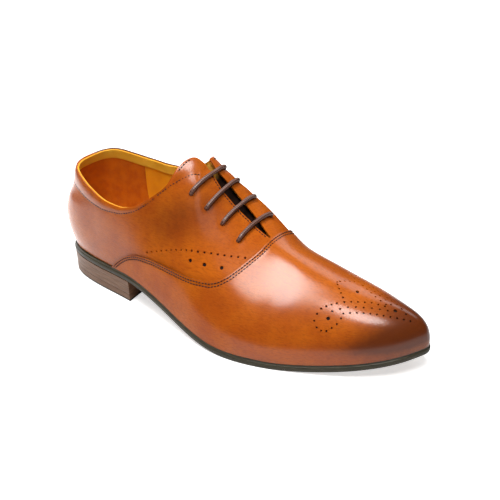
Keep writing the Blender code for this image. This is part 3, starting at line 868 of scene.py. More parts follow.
Finish = BurnishedCalf | PlainHide | WaxedCord | StackedEdge


def start_material(name: str) -> tuple[bpy.types.Material, Nodes, bpy.types.Node, Socket]:
    """New material with its shader.

    Args:
        name: material name.

    Returns:
        The material, its node helper, its shader and the object coordinates.
    """
    material = bpy.data.materials.new(name)
    material.use_nodes = True
    nodes = Nodes(material.node_tree)
    shader = material.node_tree.nodes["Principled BSDF"]
    return material, nodes, shader, nodes.add("ShaderNodeTexCoord").outputs["Object"]


class Finishes:
    """Every finish of the shoe, each built once."""

    CALF = BurnishedCalf("burnished_calf")
    # Near-black backing: painted shade seen through the punched holes.
    SHADE_BACKING = PlainHide("painted_shade_backing", (0.020, 0.009, 0.005), (0.012, 0.006, 0.004), roughness=0.8)
    # Near-black cut edge of the vamp: a dyed edge, darkened further as painted shade of the step along the seam.
    EDGE_AND_SHADE = PlainHide("dyed_cut_edge_and_shade", (0.050, 0.016, 0.007), (0.030, 0.010, 0.005), roughness=0.5)
    LINING = PlainHide("quarter_lining_hide", (0.95, 0.37, 0.014), (0.86, 0.30, 0.010), roughness=0.5)
    STRIP = PlainHide("collar_strip_hide", (0.93, 0.52, 0.050), (0.84, 0.42, 0.030), roughness=0.45)
    GRIP = PlainHide("heel_grip_suede", (0.66, 0.150, 0.002), (0.54, 0.108, 0.0015), roughness=0.78, cloud=140.0)
    SOCK = PlainHide("sock_hide", (0.66, 0.33, 0.006), (0.57, 0.26, 0.004), roughness=0.5)
    # Tongue calf whose dark tone is near black: painted shade of the deep slit between the facings, tan only at the
    # top.
    TONGUE_IN_PAINTED_SHADE = BurnishedCalf("tongue_calf_painted_shade", tan=(0.40, 0.20, 0.030), mid=(0.30, 0.13, 0.015),
                           dark=(0.012, 0.005, 0.003), roughness=0.6, coat=0.0)
    THREAD = PlainHide("brown_thread", (0.034, 0.013, 0.006), (0.020, 0.008, 0.004), roughness=0.6, cloud=900.0)
    SOLE = StackedEdge("waxed_sole_edge", (0.050, 0.042, 0.022), (0.030, 0.025, 0.013))
    TREAD = PlainHide("tread_hide", (0.30, 0.17, 0.085), (0.22, 0.12, 0.055), roughness=0.62, cloud=90.0)
    STACK = StackedEdge("waxed_heel_stack", (0.240, 0.128, 0.074), (0.170, 0.088, 0.050))
    TOP_PIECE = StackedEdge("waxed_top_piece", (0.215, 0.116, 0.068), (0.155, 0.081, 0.047))
    RUBBER = PlainHide("heel_rubber", (0.034, 0.033, 0.030), (0.022, 0.021, 0.019), roughness=0.62, cloud=400.0,
                       relief=0.0002)
    LACE = WaxedCord("waxed_lace")

    @staticmethod
    @cache
    def get(finish: Finish) -> bpy.types.Material:
        """Material of a finish, built once."""
        return finish.make()

    @classmethod
    def dress(cls, piece: Piece, *finishes: Finish) -> None:
        """Gives a piece its finishes in slot order."""
        piece.data.materials.clear()
        for finish in finishes:
            piece.data.materials.append(cls.get(finish))


@dataclass
class Hole:
    """One punched hole: where it is, which way the leather faces and how wide it is."""

    place: Array
    normal: Array
    radius: float


class Punch:
    """Finds places on the last and punches holes there."""

    def __init__(self, last: Last) -> None:
        """Builds a search tree of the whole last."""
        rows = np.linspace(0.0, Row.RING.value, 641)
        t = np.linspace(0.0, 1.0, 121)
        grid = last.points(rows, np.repeat(t[None], len(rows), 0))
        self.normal = last.normals(rows, np.repeat(t[None], len(rows), 0)).reshape(-1, 3)
        self.points = grid.reshape(-1, 3)
        wide = len(t)
        self.faces = [(k * wide + b, (k + 1) * wide + b, (k + 1) * wide + b + 1, k * wide + b + 1)
                      for k in range(len(rows) - 1) for b in range(wide - 1)]
        self.tree = BVHTree.FromPolygons([Vector(p) for p in self.points], self.faces)

    def hit(self, start: Sequence[float], toward: Sequence[float]) -> tuple[Array, Array]:
        """First place on the last along a line.

        Args:
            start: where the line begins, in millimetres.
            toward: its direction.

        Returns:
            The place and the outward direction there.
        """
        place, _, index, _ = self.tree.ray_cast(Vector(start), Vector(toward))
        corners = list(self.faces[index])
        weight = 1.0 / (1e-3 + np.linalg.norm(self.points[corners] - np.array(place), axis=1))
        return np.array(place), unit(weight @ self.normal[corners])

    def from_above(self, x: float, y: float) -> tuple[Array, Array]:
        """Place under a plan point."""
        return self.hit((x, y, 200.0), (0, 0, -1))

    def from_side(self, side: Side, x: float, z: float) -> tuple[Array, Array]:
        """Place behind a side-view point."""
        return self.hit((x, 200.0 * side.value, z), (0, -side.value, 0))

    @staticmethod
    def cut(piece: Piece, holes: Sequence[Hole], top: float, deep: float, flare: float) -> None:
        """Cuts eased round holes through a piece.

        Args:
            piece: the leather piece.
            holes: the holes.
            top: height of the leather's face over the last.
            deep: how far the cutter goes below the last.
            flare: how much wider the mouth of a hole is.
        """
        bpy.ops.object.select_all(action="DESELECT")
        bpy.ops.mesh.primitive_cylinder_add(vertices=14, radius=1.0, depth=2.0)
        shape, faces = Bench.take()
        upper = shape[:, 2:] > 0
        for low, high, widen in ((-deep, top + 0.6, 0.0), (top - 0.28, top + 0.5, flare)):
            points = []
            for hole in holes:
                across = unit(np.cross(hole.normal, (1.0, 0.2, 0.1)))
                third = np.cross(hole.normal, across)
                reach = hole.radius + np.where(upper, widen, 0.0)
                points.append(hole.place + hole.normal * np.where(upper, high, low)
                              + reach * (shape[:, :1] * across + shape[:, 1:2] * third))
            cutter = Bench.weld(Bench.copies("punch", np.array(points), faces))
            Bench.apply(piece, "BOOLEAN", operation="DIFFERENCE", solver="MANIFOLD", object=cutter)
            bpy.data.objects.remove(cutter, do_unlink=True)


@dataclass
class Quarters:
    """Quarters with facings, collar and tab, and the lining pieces inside them."""

    last: Last
    punch: Punch
    hide: float = 1.1
    lining_hide: float = 0.85
    strip_width: float = 8.0
    lines: int = 44
    band_swell: float = 0.55
    counter_swell: float = 3.5
    counter_height: float = 56.0
    dark_spots: Sequence[tuple[float, tuple[float, float], tuple[float, float]]] = (
        (0.44, (134, 86), (28, 19)), (0.34, (110, 72), (25, 20)), (0.10, (165, 70), (14, 10)))
    sole_dark: float = 0.30
    seam_dark: float = 0.28
    edge_dark: float = 0.9
    hole_small: float = 0.74
    hole_large: float = 1.35
    eyelet: float = 1.75
    collar_stitch: Table = (
        (-10.0, 82.0), (11.0, 82.0), (20.0, 79.8), (28.7, 77.2), (36.2, 74.5), (47.2, 71.8), (55.9, 70.8),
        (68.9, 71.6), (82.7, 76.0), (94.0, 83.4), (106.6, 95.6), (114.0, 102.0), (118.0, 104.7), (122.8, 106.7),
        (126.4, 105.9), (131.0, 101.7), (140.0, 94.0),
    )
    small_row: Table = ((100.5, 49.8), (103.2, 51.0), (116.2, 56.0), (129.5, 60.5), (141.5, 62.8), (151.1, 62.7),
                        (163.5, 62.2), (177.5, 61.5))
    small_count: int = 18
    large_row: Table = ((142.2, 56.8), (153.4, 56.0), (165.9, 55.7))

    def stitch_height(self, x: Array, outer: Array) -> Array:
        """Height of the collar stitching; the inner side follows its own collar line."""
        base = curve_through(self.collar_stitch, x)
        extra = curve_through(self.last.collar, x, 2) - curve_through(self.last.collar, x, 1)
        return base + np.where(outer, 0.0, extra * smooth_step(124.0, 108.0, x))

    def relief(self, points: Array) -> Array:
        """Lift of the leather: collar band, counter swell, pressed seams, eyelet dimples and slow waves."""
        x, y, z = points[..., 0], points[..., 1], points[..., 2]
        outer = y < straight(self.last.crown_y, x)
        stitch = z - self.stitch_height(x, outer)
        band = self.last.collar_height(x, outer) - self.stitch_height(x, outer)
        part = np.clip(stitch / np.maximum(band, 1.0), 0, 1)
        lift = np.where(x < 126, self.band_swell * np.sin(np.pi * part) ** 0.8, 0.0)
        lift = lift - 0.22 * np.exp(-(stitch / 0.9) ** 2) * (x < 126)
        for row in self.last.eyelets:
            for ex, ey in (row[:2], row[2:]):
                gap = np.hypot(x - ex, y - ey)
                lift = lift - 0.55 * np.exp(-(gap / 3.2) ** 2) * (z > 60)
        wave = np.sin(x * 0.11 + z * 0.07) * np.sin(z * 0.13 - x * 0.05 + 0.6)
        heel = smooth_step(46, 6, x) * smooth_step(23, 36, z) * smooth_step(82, 66, z)
        swell = self.counter_swell * heel * np.exp(-((z - self.counter_height) / 19) ** 2)
        return lift + 0.10 * wave + swell

    def burnish_and_shade(self, points: Array) -> Array:
        """Where the quarters are darker: burnished middle, painted shade along the sole edge and the seam, and a band
        along the top of the inner collar and facing.
        """
        x, y, z = points[:, 0], points[:, 1], points[:, 2]
        seam = np.abs(signed_distance(self.last.seam_path(), x, z))
        rise = z - self.last.sole_top(x)
        value = sum(depth * spot(x, z, centre, size) for depth, centre, size in self.dark_spots)
        # Darker just above the sole and beside the vamp seam: painted shade where the parts meet.
        value = value + self.sole_dark * np.exp(-rise / 5.0) + self.seam_dark * np.exp(-seam / 3.5)
        inner = y > straight(self.last.crown_y, x)
        # Darker band in the top 1.6 mm of the inner collar, up to x 122.
        inner_collar_band = smooth_step(1.6, 0.3, curve_through(self.last.collar, x, 2) - z) * (x < 122)
        value = value + self.edge_dark * inner * inner_collar_band
        return np.clip(value, 0, 1)

    @staticmethod
    def polish(points: Array) -> Array:
        """Where the quarters are polished: the counter, the collar band and the top of the tab."""
        x, z = points[:, 0], points[:, 2]
        value = 1.0 - 0.94 * smooth_step(70, 112, x)
        value = value + 0.95 * smooth_step(99, 110, z) * smooth_step(94, 106, x)
        return np.clip(value + 0.9 * spot(x, points[:, 1], (129, 3), (6, 4)), 0, 1)

    def holes(self) -> list[Hole]:
        """Pinhole row, large holes and eyelets on both sides."""
        found = []
        xs = np.linspace(self.small_row[0][0], self.small_row[-1][0], self.small_count)
        rows = [(x, float(curve_through(self.small_row, x)), self.hole_small) for x in xs]
        rows += [(x, z, self.hole_large) for x, z in self.large_row]
        for side in Side:
            for x, z, radius in rows:
                found.append(Hole(*self.punch.from_side(side, x, z), radius))
        for row in self.last.eyelets:
            for x, y in (row[:2], row[2:]):
                found.append(Hole(*self.punch.from_above(x, y), self.eyelet))
        return found

    def build(self) -> None:
        """Models and dresses the quarters, the lining, the collar strip and the heel grip."""
        rows = ring_rows((0.0, 6.0, 100), (6.0, 8.2, 96), (8.2, 9.66, 50), (9.66, 16.0, 50))
        skin = Skin(self.last, rows, np.zeros(len(rows)), self.last.tops(rows), self.lines)
        piece = Bench.hide("quarters", skin.grid(self.relief), self.away, Finishes.CALF, Finishes.SHADE_BACKING)
        centre = to_last(np.array([face.center for face in piece.data.polygons]))
        # Faces under the vamp take the near-black backing: painted shade seen through the medallion holes.
        hidden = signed_distance(self.last.seam_path(), centre[:, 0], centre[:, 2]) < -6.0
        piece.data.polygons.foreach_set("material_index", hidden.astype(np.int32))
        Bench.thicken(piece, self.hide, 0.42, inner_slot=1)
        Punch.cut(piece, self.holes(), 0.0, 2.0, 0.45)
        Bench.smooth(piece)
        Bench.paint(piece, "burnish_and_shade", self.burnish_and_shade)
        Bench.paint(piece, "polish", self.polish)
        Bench.settle(piece, "upper_finish", "upper")
        self.build_lining()

    @staticmethod
    def away(points: Array) -> Array:
        """Rough outward directions of the upper."""
        middle = np.stack([np.clip(points[:, 0], 40, 250), np.full(len(points), 2.0),
                           np.where(points[:, 0] > 190, 15.0, 45.0)], 1)
        return points - middle

    def build_lining(self) -> None:
        """Lining of the whole upper, yellow strip along the collar and suede grip round the heel."""
        rows = ring_rows((0.0, 6.0, 60), (6.0, 8.2, 60), (8.2, 9.66, 30), (9.66, 16.0, 50))
        tops = self.last.tops(rows)
        height = np.linalg.norm(np.diff(self.last.points(rows, np.stack([tops * 0.99, tops], 1)), axis=1), axis=2)[:, 0]
        per_mm = tops * 0.01 / np.maximum(height, 1e-6)
        folded = np.minimum(rows, Row.RING.value - rows)
        high = np.where(folded < Row.THROAT.value - 1e-6, tops - 0.5 * per_mm, tops)
        lining = Skin(self.last, rows, np.zeros(len(rows)), high, 30)
        # The lining's outer face takes the near-black backing: painted shade seen through the quarter's holes.
        self.inside("quarter_lining", lining.grid(-self.hide - 0.06), (Finishes.SHADE_BACKING, Finishes.LINING),
                    self.lining_hide, 0.3, slot=1)
        near = folded < 6.9
        outer = near & (rows <= Row.TIP.value)
        order = np.concatenate([np.nonzero(near & ~outer)[0][:-1], np.nonzero(outer)[0]])
        step, top = per_mm[order], tops[order]
        strip = Skin(self.last, rows[order], top - self.strip_width * step, top - 0.35 * step, 9)
        depth = -self.hide - self.lining_hide - 0.08
        self.inside("collar_strip", strip.grid(depth), (Finishes.STRIP,), 0.55, 0.2)
        self.build_grip(depth)

    def inside(self, name: str, grid: Array, finishes: Sequence[Finish], thickness: float, edge: float,
               segments: int = 2, slot: int = 0) -> None:
        """One piece of the lining.

        Args:
            name: piece name.
            grid: its points in millimetres.
            finishes: its finishes.
            thickness: its thickness in millimetres.
            edge: width of its eased edges.
            segments: steps across an eased edge.
            slot: how many finishes further its inner face and rim are.
        """
        piece = Bench.hide(name, grid, self.away, *finishes)
        Bench.thicken(piece, thickness, edge, segments, slot, slot)
        Bench.smooth(piece)
        Bench.settle(piece, "upper_finish", "upper")

    def build_grip(self, depth: float) -> None:
        """Suede heel grip with a curved front edge."""
        across = np.linspace(-1.0, 1.0, 81)
        lines = np.linspace(0.0, 1.0, 25)
        grid = np.zeros((len(across), len(lines), 3))
        for k, part in enumerate(lines):
            ring = across * (3.35 - 0.42 * part - 0.12 * math.sin(math.pi * part)) % Row.RING.value
            t = (0.06 + (self.last.tops(ring) * 0.93 - 0.06) * part)[:, None]
            grid[:, k] = (self.last.points(ring, t) + self.last.normals(ring, t) * depth)[:, 0]
        self.inside("heel_grip", grid, (Finishes.GRIP,), 0.4, 0.15, segments=1)


@dataclass
class Vamp:
    """Vamp leather over the quarters, with the toe medallion punched through it."""

    last: Last
    punch: Punch
    lift: float = 0.25
    hide: float = 1.0
    lines: int = 40
    hole_small: float = 0.62
    hole_large: float = 1.2
    centre: tuple[float, float] = (256.5, -0.1)
    turn: float = 5.6
    rows_near: Sequence[tuple[int, Table]] = (
        (11, ((38.6, 0.0), (29.6, -4.4), (17.8, -9.1), (4.8, -14.6), (-2.0, -18.0))),
        (12, ((-2.4, -20.6), (-3.6, -23.5), (-8.3, -28.1), (-14.4, -29.9), (-18.5, -28.4), (-19.3, -26.0),
              (-16.5, -20.4), (-8.4, -14.65))),
        (7, ((-4.2, -11.85), (3.46, -7.77), (12.15, -3.2), (20.6, -0.9))),
        (8, ((-9.4, -19.7), (0.1, -13.2), (13.4, -7.04), (23.4, -2.9))),
        (4, ((-13.9, -2.0), (-11.2, -5.0), (-6.3, -9.6))),
    )
    large: Table = ((0.0, 0.0), (27.7, 0.0), (-10.35, -23.6), (-10.35, 23.6))

    def medallion(self) -> list[Hole]:
        """Toe medallion: the near half from its rows, the far half mirrored."""
        flat = []
        for count, path in self.rows_near:
            for s, w in spaced(np.array(path, float), count):
                flat.append((s, w, self.hole_small))
                if abs(w) > 0.4:
                    flat.append((s, -w, self.hole_small))
        flat.append((-15.2, 0.0, self.hole_small))
        flat += [(s, w, self.hole_large) for s, w in self.large]
        ahead, aside = math.cos(math.radians(self.turn)), math.sin(math.radians(self.turn))
        holes = []
        for s, w, radius in flat:
            x = self.centre[0] + s * ahead - w * aside
            y = self.centre[1] + s * aside + w * ahead
            holes.append(Hole(*self.punch.from_above(x, y), radius))
        return holes

    def relief(self, points: Array) -> Array:
        """Lift of the vamp: pressed double seam, flex troughs over the ball and slow waves."""
        x, y, z = points[..., 0], points[..., 1], points[..., 2]
        seam = np.abs(signed_distance(self.last.seam_path(), x, z))
        lift = self.lift + self.hide - 0.18 * np.exp(-((seam - 2.6) / 1.2) ** 2)
        flex = np.sin((x + 0.35 * np.abs(y)) * 0.33) * np.exp(-((x - 204) / 13) ** 2) * smooth_step(20, 42, np.abs(y))
        wave = np.sin(x * 0.09 + y * 0.06) * np.sin(y * 0.12 - x * 0.04 + 0.6)
        return lift + 0.06 * flex + 0.09 * wave

    def burnish_and_shade(self, points: Array) -> Array:
        """Where the vamp is darker: the burnished toe, painted shade along the seam and a little along the sole; the
        toe's lowest band is left lighter as a painted floor reflection.
        """
        x, y, z = points[:, 0], points[:, 1], points[:, 2]
        seam = np.abs(signed_distance(self.last.seam_path(), x, z))
        rise = z - self.last.sole_top(x)
        toe = smooth_step(252, 300, x + 0.10 * y) * 0.86
        toe = toe + 0.48 * smooth_step(222, 276, x) * np.exp(-((rise - 12.0) / 9.0) ** 2)
        # Less darkening on the toe's lowest millimetres: a painted reflection of the floor.
        toe = toe * (0.5 + 0.5 * smooth_step(2.0, 10.0, rise))
        # Darker beside the seam and just above the sole: painted shade where the parts meet.
        value = toe + 0.22 * np.exp(-seam / 3.5) * (x < 200) + 0.16 * np.exp(-rise / 4.0)
        value = value + 0.20 * spot(x, z, (172, 38), (26, 9)) * (y < 0)
        return np.clip(value, 0, 1)

    def build(self) -> None:
        """Models and dresses the vamp."""
        rows = ring_rows((Row.VAMP_REAR.value, 9.3, 120), (9.3, 10.3, 70), (10.3, 16.0, 150))
        tops = np.minimum(self.last.tops(rows), self.last.crossing(rows, self.last.past_seam(0.0)))
        skin = Skin(self.last, rows, np.zeros(len(rows)), tops, self.lines)
        piece = Bench.hide("vamp_leather", skin.grid(self.relief), Quarters.away, Finishes.CALF, Finishes.EDGE_AND_SHADE)
        Bench.thicken(piece, self.hide, 0.30, rim_slot=1)
        Punch.cut(piece, self.medallion(), self.lift + self.hide, 0.6, 0.4)
        Bench.smooth(piece)
        Bench.paint(piece, "burnish_and_shade", self.burnish_and_shade)
        Bench.paint(piece, "polish", lambda p: 1.0 - 0.45 * smooth_step(200, 176, p[:, 0]))
        Bench.settle(piece, "vamp_finish", "vamp")


@dataclass
class Tongue:
    """Tongue under the facings."""

    last: Last
    punch: Punch
    top_x: float = 126.0
    toe_x: float = 203.0
    roundness: float = 6.0
    depth: float = 5.0
    hide: float = 1.6
    half: Table = ((120.0, 13.5), (134.0, 18.5), (155.0, 20.0), (203.0, 15.0))

    def build(self) -> None:
        """Models and dresses the tongue."""
        across = np.linspace(-1.0, 1.0, 31)
        along = np.linspace(0.0, 1.0, 49)
        grid = np.zeros((len(along), len(across), 3))
        for k, part in enumerate(along):
            for b, side in enumerate(across):
                top = self.top_x + self.roundness * side * side
                x = top + (self.toe_x - top) * part
                y = straight(self.last.crown_y, x) + straight(self.half, x) * side
                depth = np.interp(part, [0.72, 0.93], [self.depth, 2.4])
                place, normal = self.punch.from_above(x, y)
                grid[k, b] = place - normal * depth
        piece = Bench.hide("tongue_leather", grid, upward, Finishes.TONGUE_IN_PAINTED_SHADE)
        Bench.apply(piece, "SMOOTH", factor=0.5, iterations=6)
        Bench.thicken(piece, self.hide, 0.5, 3)
        Bench.smooth(piece)
        # Near-black below the top few millimetres: painted shade of the slit between the facings.
        Bench.paint(piece, "burnish_and_shade", lambda p: smooth_step(self.top_x + 2, self.top_x + 8, p[:, 0]))
        Bench.settle(piece, "tongue_finish", "tongue")


@dataclass
class Lace:
    """One lace through every eyelet: straight bars on top, short runs under the facings."""

    last: Last
    punch: Punch
    radius: float = 1.6
    sides: int = 14
    under: float = 3.5
    rest: float = 0.35
    bend: float = 2.3
    steps: int = 60

    def bar(self, outer: Sequence[float], inner: Sequence[float]) -> list[Array]:
        """Centre line of one bar from its outer to its inner eyelet."""
        spots = [self.punch.from_above(*flat) for flat in np.linspace(outer, inner, self.steps + 1)]
        centre = [place + normal * (self.radius + self.rest) for place, normal in spots]
        last = self.steps
        first = next(k for k in range(last) if np.linalg.norm(spots[k][0] - spots[0][0]) > self.bend)
        final = next(k for k in range(last, 0, -1) if np.linalg.norm(spots[k][0] - spots[last][0]) > self.bend)
        ends = []
        for end, near in ((0, first), (last, final)):
            place, normal = spots[end]
            toward = spots[near][0] - place
            toward = unit(toward - normal * (toward @ normal))
            ends.append([place - normal * self.under, place - normal * 1.6, place + normal * 0.3,
                         place + normal * 1.2 + toward * 0.9])
        return ends[0] + centre[first:final + 1:2] + ends[1][::-1]

    def path(self) -> Array:
        """Whole centre line, from the top bar's inner end down to the lowest bar."""
        way: list[Array] = []
        for index, row in enumerate(self.last.eyelets):
            bar = self.bar(row[:2], row[2:])
            turned = bar[::-1] if index % 2 == 0 else bar
            if way:
                start, end = way[-1], turned[0]
                for part in (0.25, 0.5, 0.75):
                    flat = start + (end - start) * part
                    place, normal = self.punch.from_above(flat[0] + 1.2, flat[1])
                    way.append(place - normal * self.under)
            way.extend(turned)
        return np.array(way)

    def build(self) -> None:
        """Models and dresses the lace."""
        centre = spaced(self.path(), 360)
        for _ in range(3):
            centre[1:-1] = 0.25 * centre[:-2] + 0.5 * centre[1:-1] + 0.25 * centre[2:]
        piece = Bench.weld(Bench.sheet("lace", sweep(centre, self.radius, self.sides)), caps=True)
        Finishes.dress(piece, Finishes.LACE)
        Bench.smooth(piece, 60.0)
        Bench.settle(piece, "lace_finish", "lace_bar_1", "lace_bar_2", "lace_bar_3", "lace_bar_4")


def sweep(centre: Array, radius: float, sides: int) -> Array:
    """Points of a round cord along a centre line.

    Args:
        centre: points of the centre line.
        radius: cord radius.
        sides: points round the cord.

    Returns:
        Points, along by round by three; the last point round meets the first.
    """
    ahead = unit(np.gradient(centre, axis=0))
    across = np.cross(ahead[0], (1.0, 0.0, 0.0))
    turn = np.linspace(0, 2 * np.pi, sides + 1)[:, None]
    rings = []
    for point, forward in zip(centre, ahead):
        across = unit(across - forward * (across @ forward))
        third = np.cross(forward, across)
        rings.append(point + radius * (np.cos(turn) * across + np.sin(turn) * third))
    return np.array(rings)


@dataclass
class Bottom:
    """Insole, outsole, heel stack and heel top piece."""

    last: Last
    insole_thick: float = 2.5
    wall: float = 2.0
    breast: float = 79.0
    hollow: float = 2.0
    top_piece: float = 6.0
    lifts: int = 3
    profile: Table = ((1.6, 0.0), (0.55, 0.05), (0.15, 0.18), (0.0, 0.36), (0.02, 0.55), (0.12, 0.68), (0.34, 0.735),
                      (0.62, 0.76), (0.74, 0.80), (0.72, 0.90), (0.86, 0.98), (1.3, 1.0))

    def build(self) -> None:
        """Models and dresses every piece of the bottom."""
        self.build_outsole()
        self.build_insole()
        self.build_heel()

    def build_outsole(self) -> None:
        """Outsole with a stepped waxed edge and a leather tread."""
        rows = np.concatenate([np.linspace(0, 2.4, 90, endpoint=False), np.linspace(2.4, 13, 150, endpoint=False),
                               np.linspace(13, 16, 90)])
        grid = []
        for row in rows:
            ring = np.array([row, (Row.RING.value - row) % Row.RING.value])
            plan, side = self.last.edge(ring), self.last.outward(ring)
            lat = [plan[0] - inset * side[0] for inset, _ in self.profile]
            med = [plan[1] - inset * side[1] for inset, _ in self.profile]
            over = [lat[-1] + (med[-1] - lat[-1]) * f for f in (0.08, 0.35, 0.65, 0.92)]
            below = [med[0] + (lat[0] - med[0]) * f for f in (0.03, 0.1, 0.25, 0.5, 0.75, 0.9, 0.97)]
            flat = np.array(lat + over + med[::-1] + below + lat[:1])
            part = np.array([p for _, p in self.profile] + [1.0] * 4 + [p for _, p in self.profile][::-1] + [0.0] * 8)
            height = self.last.sole_top(flat[:, 0]) - self.last.sole_thick * (1 - part)
            grid.append(np.column_stack([flat, height]))
        piece = Bench.weld(Bench.sheet("outsole_leather", np.array(grid)))
        Finishes.dress(piece, Finishes.SOLE, Finishes.TREAD)
        for face in piece.data.polygons:
            if face.normal.z < -0.9:
                face.material_index = 1
        Bench.smooth(piece, 50.0)
        Bench.settle(piece, "outsole_finish", "outsole")

    def build_insole(self) -> None:
        """Insole with its sock, slightly dished."""
        rows = np.linspace(0.02, 15.98, 161)
        across = np.linspace(0, 1, 25)
        inset = self.last.sole_margin + self.wall + 2 * self.last.fit_gap
        ring = Row.RING.value - rows
        lat, med = self.last.within(rows, inset), self.last.within(ring, inset)
        plan = lat[:, None] + (med - lat)[:, None] * across[None, :, None]
        height = self.last.sole_top(plan[..., 0]) + self.last.fit_gap + self.insole_thick
        height = height - 0.5 * np.sin(np.pi * across)[None] ** 0.7
        grid = np.concatenate([plan, height[..., None]], 2)
        piece = Bench.hide("insole_sock", grid, upward, Finishes.SOCK)
        Bench.thicken(piece, self.insole_thick - 0.6)
        Bench.smooth(piece, 50.0)
        Bench.settle(piece, "insole_finish", "insole")

    def heel_plan(self, inset: float) -> Array:
        """Closed heel outline, from the heel back along the outer side to the breast and back."""
        rows = np.linspace(0.0, 4.12, 70)
        sides = [self.last.within(ring, inset) for ring in (rows, Row.RING.value - rows[1:])]
        lat, med = (side[side[:, 0] < self.breast - 0.8] for side in sides)
        lat_end = np.array([self.breast, lat[-1, 1] - 0.15])
        med_end = np.array([self.breast, med[-1, 1] + 0.05])
        part = np.linspace(0, 1, 13)[1:-1, None]
        front = lat_end + (med_end - lat_end) * part
        front[:, :1] -= self.hollow * 4 * part * (1 - part)
        return np.concatenate([lat, [lat_end], front, [med_end], med[::-1], lat[:1]])

    def build_heel(self) -> None:
        """Stacked heel with fine grooves between its lifts, and a rubber top piece."""
        top = self.last.heel_top - self.last.sole_thick - self.last.fit_gap
        low = self.top_piece + self.last.fit_gap
        step = (top - low) / self.lifts
        levels = []
        for k in range(self.lifts):
            base = low + k * step
            for part, groove in ((0.0, 0.09), (0.03, 0.01), (0.5, 0.0), (0.97, 0.01), (1.0, 0.09)):
                height = base + part * step
                levels.append((height, 0.9 - 0.5 * (height - low) / (top - low) + groove))
        self.block("heel_lifts", levels, Finishes.STACK, "heel_stack_finish", "heel_stack")
        rubber = [(0.0, 1.9), (0.25, 1.35), (0.8, 1.05), (1.6, 1.0), (5.6, 0.92), (self.top_piece, 1.0)]
        piece = self.block("heel_rubber_piece", rubber, Finishes.TOP_PIECE, "heel_top_piece_finish", "heel_top_piece")
        piece.data.materials.append(Finishes.get(Finishes.RUBBER))
        for face in piece.data.polygons:
            if face.center.z < 1.4 * MM:
                face.material_index = 1

    def block(self, name: str, levels: Sequence[tuple[float, float]], finish: Finish, slot: str, node: str) -> Piece:
        """Solid of the heel plan through height and inset pairs."""
        grid = []
        for height, inset in levels:
            plan = self.heel_plan(inset)
            grid.append(np.column_stack([plan, np.full(len(plan), height)]))
        count = min(len(g) for g in grid)
        grid = np.array([g if len(g) == count else spaced(g, count) for g in grid])
        piece = Bench.weld(Bench.sheet(name, grid), caps=True)
        Finishes.dress(piece, finish)
        Bench.smooth(piece, 35.0)
        return Bench.settle(piece, slot, node)


